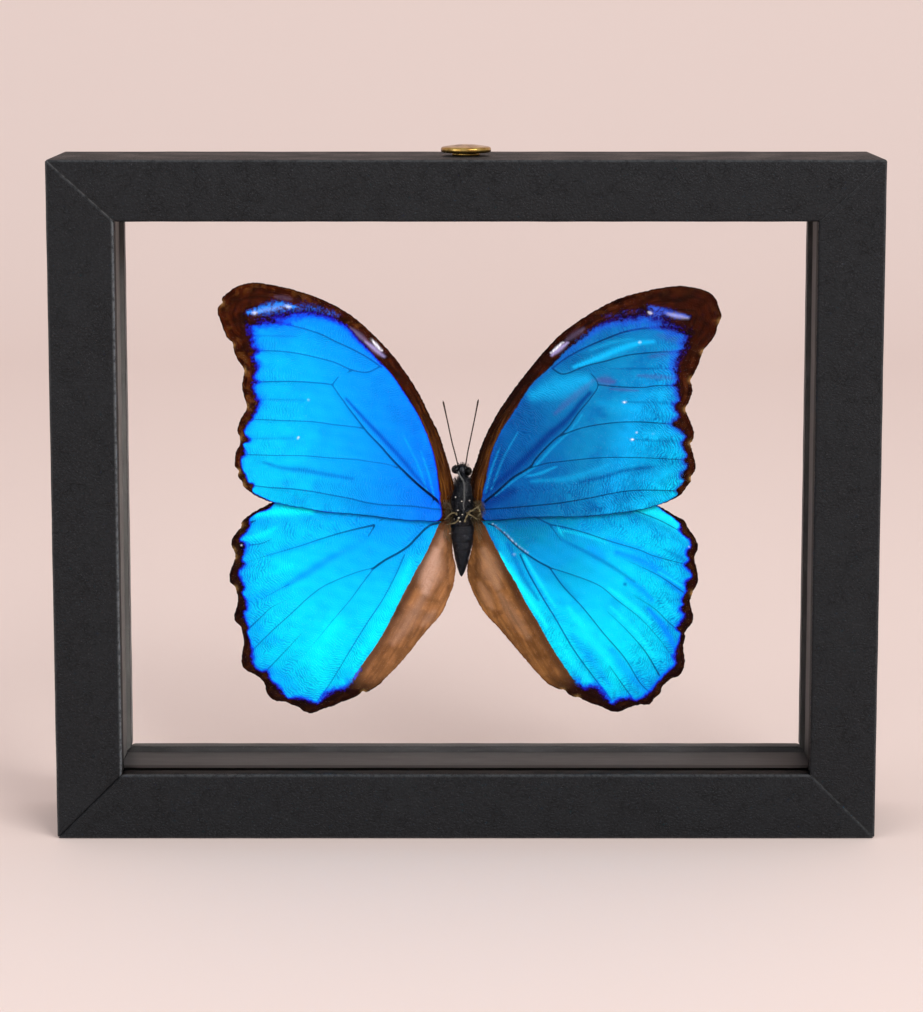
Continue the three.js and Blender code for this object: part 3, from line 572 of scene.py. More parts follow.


# ---- Wings -------------------------------------------------------------------------------------

# Points are X and Z in millimetres. "outline" runs round the wing, "field" round its blue part,
# and each vein is its points with its width at the root and at the margin.

# In the wing plans, folds and creases are strokes of painted shade; gleams, glints and sheen are painted
# highlights.
FOREWING_LEFT = {
    "root": (-3.5, 80.0),
    "depth": FOREWING_DEPTH,
    "outline": [
        (-2.6, 83.0), (-3.1, 86.0), (-3.6, 87.9), (-4.3, 90.6), (-5.3, 94.0), (-6.7, 98.5), (-8.8, 102.8),
        (-11.7, 108.8), (-14.7, 113.6), (-17.9, 118.0), (-22.0, 122.6), (-27.8, 127.9), (-34.5, 131.9),
        (-42.8, 134.9), (-51.2, 136.6), (-53.3, 136.7), (-56.4, 136.0), (-57.9, 135.3), (-59.8, 133.8),
        (-60.9, 132.6), (-60.6, 131.7), (-61.5, 131.0), (-61.9, 129.5), (-61.3, 127.3), (-60.8, 125.8),
        (-59.6, 123.0), (-58.2, 121.6), (-58.1, 120.4), (-57.3, 118.0), (-55.9, 115.7), (-55.4, 114.7),
        (-55.8, 112.1), (-56.0, 110.5), (-55.5, 108.0), (-54.9, 106.5), (-54.9, 105.0), (-56.3, 102.6),
        (-57.2, 100.1), (-57.2, 99.1), (-56.7, 97.6), (-56.8, 95.6), (-57.7, 94.1), (-58.0, 91.5),
        (-57.9, 90.3), (-57.0, 89.2), (-57.2, 88.0), (-56.2, 86.3), (-56.0, 85.5), (-53.9, 83.6),
        (-50.8, 81.9), (-48.2, 81.1), (-44.0, 80.2), (-40.2, 79.6), (-36.0, 78.8), (-30.2, 78.3),
        (-23.1, 77.6), (-16.4, 76.7), (-8.4, 76.3), (-4.0, 76.6), (-2.6, 79.0),
    ],
    "field": [
        (-6.0, 78.6), (-6.3, 81.7), (-6.7, 84.7), (-7.0, 87.9), (-8.1, 93.7), (-9.9, 99.0),
        (-12.2, 104.0), (-16.2, 110.4), (-18.7, 114.0), (-22.3, 117.8), (-25.6, 121.4), (-30.4, 126.4),
        (-33.2, 127.9), (-37.5, 129.3), (-41.0, 129.5), (-44.6, 129.0), (-49.0, 128.0), (-52.6, 127.2),
        (-54.6, 125.6), (-54.1, 123.3), (-53.9, 120.8), (-53.1, 119.9), (-53.7, 117.8), (-52.4, 115.9),
        (-53.3, 113.2), (-53.2, 112.1), (-52.9, 111.9), (-53.5, 110.9), (-53.3, 109.2), (-52.3, 106.9),
        (-52.6, 104.8), (-54.1, 102.5), (-55.6, 100.0), (-55.8, 98.7), (-54.4, 97.0), (-56.0, 96.2),
        (-55.6, 94.3), (-56.7, 91.8), (-56.0, 89.1), (-55.1, 87.2), (-54.9, 86.1), (-53.5, 85.6),
        (-53.9, 84.2), (-50.6, 82.2), (-47.8, 81.0), (-40.0, 79.4), (-30.0, 78.1), (-16.0, 76.5),
        (-8.0, 76.2), (-6.4, 76.9),
    ],
    "veins": [
        ([(-6.3, 80.7), (-8, 82.3), (-12.2, 85.9), (-15.3, 88.9), (-18.5, 92.2), (-21.6, 95.8),
          (-24.8, 99.2), (-26.4, 101.3), (-29.2, 105), (-30.9, 107.4), (-32.3, 109.4), (-33.2, 111.1),
          (-31.9, 113.1)], 0.9, 0.35),
        ([(-21.0, 115.5), (-24.6, 118), (-28.5, 120.1), (-32, 121.7), (-36.5, 123.9), (-42.8, 125.8),
          (-48, 126.8), (-53.6, 126.7)], 0.5, 0.4),
        ([(-21.8, 115.5), (-24.6, 114.3), (-28.3, 114.8), (-32.7, 116.7), (-37.5, 118), (-42.8, 119.1),
          (-47.8, 119.6), (-54.5, 119.6)], 0.45, 0.35),
        ([(-28.1, 114.8), (-29.8, 114.1)], 0.4, 0.2),
        ([(-33.2, 111.1), (-35.4, 111.4), (-42.8, 111.9), (-52.4, 111.8)], 0.4, 0.45),
        ([(-25.8, 100.1), (-28.3, 100.5), (-33.1, 101), (-38.1, 101.7), (-45.5, 102),
          (-55, 102.4)], 0.35, 0.35),
        ([(-17.4, 90.1), (-19.5, 90.9), (-23.7, 91.6), (-27.9, 92.2), (-33.9, 92.6), (-40.2, 93.1),
          (-48, 93.2), (-56, 93.4)], 0.35, 0.3),
        ([(-5, 79.3), (-8, 79.5), (-13.2, 80.2), (-21.6, 80.7), (-25.8, 81.4), (-28.3, 82.1),
          (-33.9, 83.2), (-38.1, 84), (-43.4, 84.7), (-49.9, 85.1), (-54.8, 85.7)], 0.5, 0.4),
        ([(-8.2, 81.7), (-8.8, 80.5)], 0.4, 0.3),
    ],
    "folds": [
        ([(-30.0, 107.6), (-24.9, 101.9), (-20.9, 97.6), (-15.7, 91.8), (-12.0, 87.2),
          (-7.6, 82.2)], 0.6, 1.0),
        ([(-28.3, 87.3), (-37.1, 88.8), (-40.2, 89.4), (-46.5, 90.1), (-50.7, 91.4)], 0.7, 0.6),
        ([(-39.4, 107.1), (-53, 107.4)], 0.3, 0.4),
        ([(-42, 97.6), (-55.5, 97.4)], 0.3, 0.4),
        ([(-42, 123.2), (-54, 123.5)], 0.3, 0.4),
    ],
    "gleams": [([(-53.5, 109.5), (-47, 110.2)], 1.6, 0.3), ([(-52, 117.6), (-44, 117.2)], 1.2, 0.25),
               ([(-53, 100.0), (-44, 99.6)], 1.4, 0.3), ([(-50, 88.0), (-42, 87.4)], 1.0, 0.3),
               ([(-8.0, 82.6), (-9.4, 88.5), (-11.2, 94)], 0.22, 0.5),
               ([(-9.6, 83.6), (-12.2, 91), (-16.0, 99)], 0.22, 0.4)],
    "glints": [
        ([(-39.4, 107.2), (-39.4, 107.0)], 0.25, 0.9), ([(-42, 97.7), (-42, 97.5)], 0.25, 0.8),
        ([(-23.6, 122.5), (-21.0, 119.6)], 0.27, 1.0), ([(-53.2, 129.1), (-52.2, 129.2)], 0.45, 0.6),
        ([(-45.0, 130.9), (-43.6, 130.5)], 0.35, 0.6), ([(-52.6, 129.4), (-44.6, 130.8)], 0.5, 0.1),
    ],
    "sheen": [([(-28.8, 125.2), (-24.4, 121.6)], 0.6, 0.3), ([(-25.0, 121.9), (-20.4, 118.2)], 0.55, 0.75),
              ([(-47.5, 133.2), (-43.5, 132.6)], 0.6, 0.1)],
    "haze": [([(-54.2, 129.2), (-50, 130.2), (-46.5, 131.0), (-42.6, 130.6)], 1.7, 0.85),
             ([(-51, 128.6), (-44, 130.0), (-38, 130.2), (-32, 128.6)], 2.0, 0.55)],
    "lead": 20,
    "notches": [(-60.8, 131.6), (-58.3, 121.0), (-55.4, 114.6), (-54.9, 105.7), (-56.7, 97.6),
                (-57.0, 89.0), (-56.0, 85.6)],
    "eyespots": [(-47, 122, 2.4), (-46, 107, 2.6), (-47, 98, 2.2)],
}

HINDWING_LEFT = {
    "root": (-4.0, 76.0),
    "depth": HINDWING_DEPTH,
    "outline": [
        (-3.0, 78.6), (-10, 81.5), (-22, 84.5), (-34, 85), (-43, 83.4), (-48.6, 81.1), (-49.5, 80.7),
        (-51.1, 79.8), (-53.9, 78.2), (-56.2, 76.4), (-56.6, 75.7), (-56.5, 75.0), (-57.8, 73.3),
        (-59.0, 71.5), (-59.2, 70.0), (-58.6, 68.8), (-58.2, 67.1), (-58.8, 65.2), (-59.5, 63.5),
        (-59.7, 62), (-59.5, 60.4), (-58.4, 59.3), (-58.0, 58.2), (-57.6, 56.4), (-58.1, 53.7),
        (-58.6, 51.9), (-58.4, 50.6), (-57.0, 49.1), (-56.7, 47.6), (-56.2, 45.6), (-56.7, 42.2),
        (-56.9, 40.1), (-56.7, 38.8), (-56.0, 37.9), (-53.5, 36.6), (-52.2, 35.7), (-50.9, 33.8),
        (-50.8, 32.8), (-50.3, 31.5), (-48.6, 29.9), (-45.7, 29.5), (-44.6, 28.9), (-42.3, 28.1),
        (-41.8, 27.4), (-39.8, 26.6), (-38.3, 26.8), (-35.8, 27.9), (-33.9, 28.4), (-31.4, 29.6),
        (-30.0, 30.0), (-27.3, 31.3), (-26.2, 32.3), (-25.2, 32.1), (-23.7, 32.9), (-22.0, 34.0),
        (-20.8, 35.3), (-17.4, 38.8), (-15.3, 41.2), (-12.0, 45.4), (-9.0, 49.1), (-6.1, 52.5),
        (-4.2, 56.6), (-3.3, 58.7), (-2.6, 63.1), (-2.6, 64.6), (-3.2, 67.0), (-3.4, 69.6), (-3.0, 74),
    ],
    "field": [
        (-3.0, 78.6), (-10, 81.5), (-22, 84.5), (-34, 85), (-43, 83.4), (-48.2, 80.8), (-49.5, 79.5),
        (-52.8, 78.3), (-54.7, 76.6), (-54.9, 74.7), (-56.2, 72.8), (-57.5, 71.5), (-56.2, 70.3),
        (-56.2, 68.4), (-56.8, 65.9), (-56.2, 65), (-57.2, 64), (-57.7, 62.7), (-56.6, 60.2),
        (-56.2, 59), (-56.8, 58.1), (-56.2, 56.6), (-55.6, 54.1), (-56.4, 52.5), (-55.4, 48.7),
        (-55.7, 47.7), (-55.1, 46), (-54.7, 43.9), (-54.5, 41), (-54.1, 39.1), (-52.4, 37.4),
        (-50.7, 37), (-49.9, 35.3), (-47.8, 33), (-45.3, 30.4), (-42.8, 30.3), (-40.2, 29.6),
        (-38.1, 28.6), (-35, 31.1), (-33.3, 32.1), (-30.2, 33), (-27.9, 37), (-24.8, 41.4),
        (-21.6, 46.2), (-19.1, 50.8), (-17.4, 54.3), (-15.5, 58.1), (-13.8, 61.2), (-12, 64.6),
        (-10.3, 67.5), (-9, 70.3), (-7.8, 73), (-6.6, 75.5), (-4.5, 77.2),
    ],
    "veins": [
        ([(-6.7, 75.7), (-9.2, 75), (-12.5, 71.9), (-14.3, 70), (-16.4, 68.5), (-20.8, 66),
          (-23.1, 64.3)], 0.7, 0.7),
        ([(-23.1, 64.3), (-27.3, 63.2), (-33.8, 60.6), (-36.3, 59.3), (-39.6, 56.8), (-44.3, 52.4),
          (-49.4, 47.7), (-52.3, 44.8), (-54.6, 42.4)], 0.3, 0.35),
        ([(-44.0, 56.4), (-49, 54.2), (-51.9, 51.5), (-55.9, 47.7)], -0.05, 0.6),
        ([(-23.1, 64.3), (-25.7, 60.9), (-29.1, 56.2), (-33.8, 50.6), (-38.1, 45.3), (-43.9, 38.6),
          (-45.7, 36.1)], 0.4, -0.1),
        ([(-41.5, 47.5), (-44.3, 44.4), (-46.8, 41.7), (-50.4, 37.9)], 0.1, 0.45),
        ([(-15.5, 67.6), (-17.7, 62.5), (-21.1, 56), (-25.1, 49.9), (-29.1, 43.4), (-32.7, 37.2),
          (-36.7, 31), (-38.5, 28.9)], 0.4, 0.25),
        ([(-23.1, 75.3), (-30, 73.7), (-36.3, 71.8), (-41.8, 69.9), (-49.4, 67.6),
          (-56, 65.5)], 0.65, 0.05),
        ([(-23, 75.1), (-24.6, 72.4)], 0.5, 0.4),
        ([(-20, 77.2), (-21.9, 76.3)], 0.2, 0.3),
        ([(-36, 78.7), (-40.2, 78.1), (-44.9, 77), (-47.6, 76)], 0.1, -0.05),
        ([(-47.9, 72.3), (-51.5, 70.5), (-54.4, 70.1)], 0.0, 0.45),
        ([(-44.7, 60), (-48.5, 58), (-51.7, 56)], 0.25, 0.05),
        ([(-26, 77.7), (-23.1, 77.5)], 0.4, 0.3),
        ([(-54.8, 75.6), (-53, 76.4)], 1.0, 0.4),
    ],
    "folds": [
        ([(-7.5, 76.4), (-12, 73.4), (-16, 69.8)], 0.5, 0.35),
        ([(-15.5, 68), (-17.4, 64), (-19.4, 60.4)], 0.5, 0.3),
    ],
    "stains": [
        ([(-30.5, 68.7), (-34.2, 66.7), (-39.6, 63.2), (-45.5, 59.7)], 1.25, 0.95),
        ([(-24.2, 72.9), (-26.6, 70.7), (-30, 68.9), (-34.2, 66.7)], 1.2, 0.7),
        ([(-50, 67.6), (-44, 69.4), (-37, 71.3)], 1.3, 0.6),
        ([(-23, 73.2), (-18.5, 74.4), (-15, 75.4)], 2.2, 0.65),
        ([(-45, 59.9), (-52, 57), (-55.5, 56)], 1.2, 0.5),
        ([(-53, 49.5), (-50, 46.5), (-47, 45)], 1.5, 0.4),
        ([(-50, 38.5), (-46, 35.5), (-43, 33)], 1.6, 0.45),
    ],
    "gleams": [
        ([(-39, 78.6), (-46, 78.9), (-52.5, 77.8)], 1.5, 0.9),
        ([(-56.5, 71.6), (-52, 72.4), (-48, 74.4)], 0.9, 0.6),
        ([(-14, 66), (-17.5, 57), (-23, 47), (-28, 39.5)], 1.6, 0.45), ([(-44, 65), (-48, 63)], 1.3, 0.4),
        ([(-33, 50), (-38, 42), (-36, 35)], 3.5, 0.5),
    ],
    "streak": [(-6, 76), (-30.2, 33)],
    "glints": [([(-56.6, 70.0), (-56.6, 69.8)], 0.22, 0.6)],
    "notches": [(-56.7, 75.3), (-58.6, 68.8), (-58.4, 67.0), (-58.2, 59.0), (-25.8, 32.2)],
    "eyespots": [(-47, 70, 3.0), (-46, 52, 2.8), (-38, 40, 2.6)],
    "crease_shade": [([(-4.6, 73), (-4.6, 66), (-4.4, 58.5)], 0.3, 0.4),
               ([(-16.6, 54.8), (-18.2, 51.8)], 1.2, 0.6),
               ([(-8.5, 71.5), (-10.6, 66.5), (-14, 59), (-16.5, 54.6)], 0.8, 0.45),
               ([(-15.4, 51.5), (-17.4, 47.5), (-21, 42)], 0.35, 0.3)],
    "sheen": [([(-7.4, 68.5), (-8.4, 65), (-9.4, 61.8), (-10.2, 58.2)], 2.4, 0.9),
              ([(-5.6, 73), (-7.0, 68)], 1.1, 0.45),
              ([(-10.5, 57.5), (-14.2, 51.0), (-18.5, 45.0)], 1.8, 0.35),
              ([(-8, 53), (-11, 49.5)], 1.2, 0.3)],
    "haze": [([(-27, 38.0), (-29.5, 35.4), (-33, 33.4)], 1.4, 1.0)],
}

FOREWING_RIGHT = {
    "root": (1.5, 80.0),
    "depth": FOREWING_DEPTH,
    "outline": [
        (0.6, 83.0), (1.0, 86.2), (1.6, 88.8), (2.4, 91.0), (3.9, 95.6), (6.0, 100.4), (8.5, 104.8),
        (11.2, 108.8), (14.8, 113.7), (19.9, 119.9), (23.8, 123.9), (29.9, 128.3), (35.1, 131.3),
        (38.3, 132.8), (43.5, 134.3), (52.6, 135.9), (57.2, 135.4), (59.3, 134.8), (61.0, 134.0),
        (62.0, 133.0), (62.6, 131.9), (63.1, 130.4), (63.7, 128.2), (62.7, 125.6), (62.5, 124.5),
        (62.0, 123.3), (61.0, 121.8), (59.3, 119.7), (58.9, 118.6), (58.0, 115.9), (56.8, 113.5),
        (56.1, 112.1), (56.5, 110.9), (56.7, 109.4), (56.3, 108.1), (55.7, 106.5), (54.9, 104.9),
        (55.4, 103.6), (56.6, 100.8), (57.2, 98.8), (56.9, 97.1), (56.3, 96.1), (56.6, 95.0),
        (57.5, 91.6), (57.6, 89.9), (57.2, 88.7), (56.4, 87.5), (56.5, 86.7), (55.4, 85.1),
        (54.1, 83.3), (52.8, 82.4), (51.3, 81.6), (48.3, 80.5), (44.6, 79.4), (39.1, 78.6),
        (32.8, 77.8), (29.1, 77.5), (18, 77.4), (5.5, 76.5), (2.0, 76.6), (0.6, 79.0),
    ],
    "field": [
        (3.7, 79.0), (3.9, 81.7), (4.1, 83.2), (5.2, 87.8), (5.6, 90.3), (6.8, 95),
        (8.9, 99.6), (11.9, 104.2), (14.8, 108.8), (16.5, 111.3), (19.6, 114.2), (22, 116.7),
        (25.9, 120.6), (29.9, 124.0), (33.4, 126.4), (37, 127.6), (40.5, 128.2), (44.5, 129.0),
        (47.5, 128.4), (50.9, 126.4), (55.7, 124.2), (55.5, 122.4), (54.7, 121.2), (55.2, 120.2),
        (53.2, 117), (52.8, 115.1), (53.2, 112.5), (53.0, 110.9), (53.2, 110), (53.4, 108.8),
        (53.6, 107.1), (52.4, 105.7), (53.6, 103.2), (52.4, 101.5), (53.8, 99.8), (55.3, 98.1),
        (54.3, 96), (55.7, 93.1), (55.1, 91.8), (55.7, 90.3), (54.1, 87.8), (54.9, 87), (54.3, 85.7),
        (53, 84.1), (53.4, 83.4), (51.2, 81.8), (48, 80.3), (44.6, 79.2), (39, 78.4), (29, 77.3),
        (18, 77.2), (5.5, 76.4), (4.2, 77.2),
    ],
    "veins": [
        ([(4.7, 81.3), (7.7, 83.8), (11.9, 87.6), (16.1, 90.3), (17.6, 92.4), (21.3, 96.4), (25.3, 100),
          (28.3, 104.2), (31.2, 107.8), (33, 110.8), (32.5, 112.5), (31.2, 113.9)], 0.75, 0.3),
        ([(21.5, 115.3), (25.3, 118), (29.9, 120.5), (34.1, 122.3), (39.3, 124.3), (44.6, 125.3),
          (50.9, 125.1), (55.9, 123.9)], 0.5, 0.6),
        ([(21.7, 115.1), (24.1, 113.8), (29.9, 115.8), (35.1, 117.1), (40.4, 118.5), (47, 119.2),
          (54.5, 119.4)], 0.45, 0.35),
        ([(33, 111.1), (38, 110.6), (44.6, 110.4), (47.3, 110.8), (52.3, 110.9)], 0.4, 0.4),
        ([(23.2, 98), (29.1, 100.2), (37, 101.5), (43.3, 101.7), (53.4, 101)], 0.4, 0.4),
        ([(16.1, 90), (20.3, 91.2), (23.5, 91.6), (34, 92.6), (44, 92.6), (55.5, 92)], 0.35, 0.3),
        ([(2, 79.2), (5.2, 79.4), (15, 80.2), (23.5, 81.1), (31.2, 82.4), (37, 83.6), (42.3, 84.3),
          (53.5, 84.2)], 0.5, 0.35),
    ],
    "folds": [
        ([(31, 109), (28.6, 106.4), (25.5, 102.5), (20.4, 98), (16.4, 93.8), (13.5, 91), (7, 85.2),
          (4.5, 82.8)], 1.2, 0.9),
        ([(28.6, 86.3), (34.9, 87.8), (39.6, 89.3), (47.5, 90.3)], 0.6, 0.6),
        ([(36, 115), (51, 115.2)], 0.3, 0.45),
        ([(38.5, 106.8), (52.5, 106.4)], 0.3, 0.45),
        ([(41.5, 97.2), (54.6, 96.6)], 0.3, 0.45),
        ([(1.5, 80.6), (7, 81.9), (12, 84.2)], 1.6, 0.8),
    ],
    "gleams": [
        ([(27.0, 115.6), (33.0, 117.8), (39.0, 120.3), (43.5, 121.6), (46.8, 121.9)], 0.9, 0.95),
        ([(31.0, 119.8), (36.0, 121.6), (42.0, 122.6)], 0.5, 0.4),
        ([(17.0, 108.5), (23.0, 110.5), (30.0, 112.4)], 3.0, 0.62),
        ([(14.8, 87.8), (18.2, 88.5), (22.8, 90.4)], 0.35, 0.6),
        ([(7.5, 83), (12.4, 87), (16.8, 90.0), (21.7, 95.2), (26.0, 99.4), (29.2, 103.6)], 0.28, 0.5),
        ([(34.0, 106.5), (38.5, 105.6), (43.0, 104.6)], 1.8, 0.35),
        ([(52.5, 110), (46.0, 108.6)], 1.2, 0.5), ([(53.5, 99), (45.0, 98.6)], 1.4, 0.5),
        ([(53.5, 90), (43.0, 87.4)], 1.6, 0.45), ([(51.0, 82.8), (40.0, 80.6)], 0.9, 0.5),
        ([(16.5, 86.6), (26.0, 87.4), (36.0, 90.8)], 0.8, 0.35),
        ([(5.0, 83.8), (6.4, 89.5), (8.4, 95.0)], 0.24, 0.5),
        ([(6.4, 84.4), (9.2, 92.0), (13.0, 99.0)], 0.24, 0.4),
    ],
    "glints": [
        ([(39.7, 106.8), (39.7, 106.6)], 0.3, 0.95), ([(41.7, 97.3), (41.7, 97.1)], 0.32, 0.95),
        ([(45.4, 129.3), (46.4, 129.0)], 0.35, 0.55), ([(50.2, 128.9), (55.2, 127.9)], 0.5, 0.22),
        ([(21.3, 119.1), (24.3, 121.8)], 0.24, 0.9), ([(29.0, 124.5), (29.2, 124.5)], 0.18, 0.3),
        ([(43.2, 121.7), (43.6, 121.8)], 0.35, 0.3),
        ([(42.8, 99.0), (42.8, 98.9)], 0.2, 0.5), ([(47.0, 98.8), (47.0, 98.7)], 0.2, 0.4),
    ],
    "haze": [([(45.6, 130.9), (49.0, 129.6), (52.0, 128.7), (55.6, 128.2)], 1.3, 0.75),
             ([(46.4, 130.2), (48.6, 127.2)], 2.0, 0.78),
             ([(34.0, 128.2), (40.0, 129.2), (45.0, 129.8)], 1.2, 0.4)],
    "sheen": [([(21.4, 118.5), (25.4, 121.7)], 0.5, 0.8), ([(25.0, 122.2), (29.4, 125.2)], 0.7, 0.12),
              ([(49.5, 129.2), (55.4, 127.9)], 0.6, 0.4)],
    "stains": [([(33.2, 112.3), (36.8, 111.8)], 1.2, 0.75),
               ([(31.8, 112.2), (27, 108.2), (22.3, 103.8)], 0.9, 0.5),
               ([(43.0, 113.4), (53.0, 112.6)], 0.6, 0.5),
               ([(46.0, 118.0), (53.0, 119.4)], 0.8, 0.35), ([(36.0, 110.0), (43.0, 109.6)], 0.35, 0.6),
               ([(48.0, 123.6), (55.0, 121.6)], 0.9, 0.35)],
    "lead": 21,
    "notches": [(63.2, 127.0), (59.2, 119.3), (56.2, 112.3), (54.9, 104.8), (56.4, 96.2), (56.5, 87.3)],
    "eyespots": [(49, 122, 2.4), (46, 107, 2.6), (47, 98, 2.2)],
}

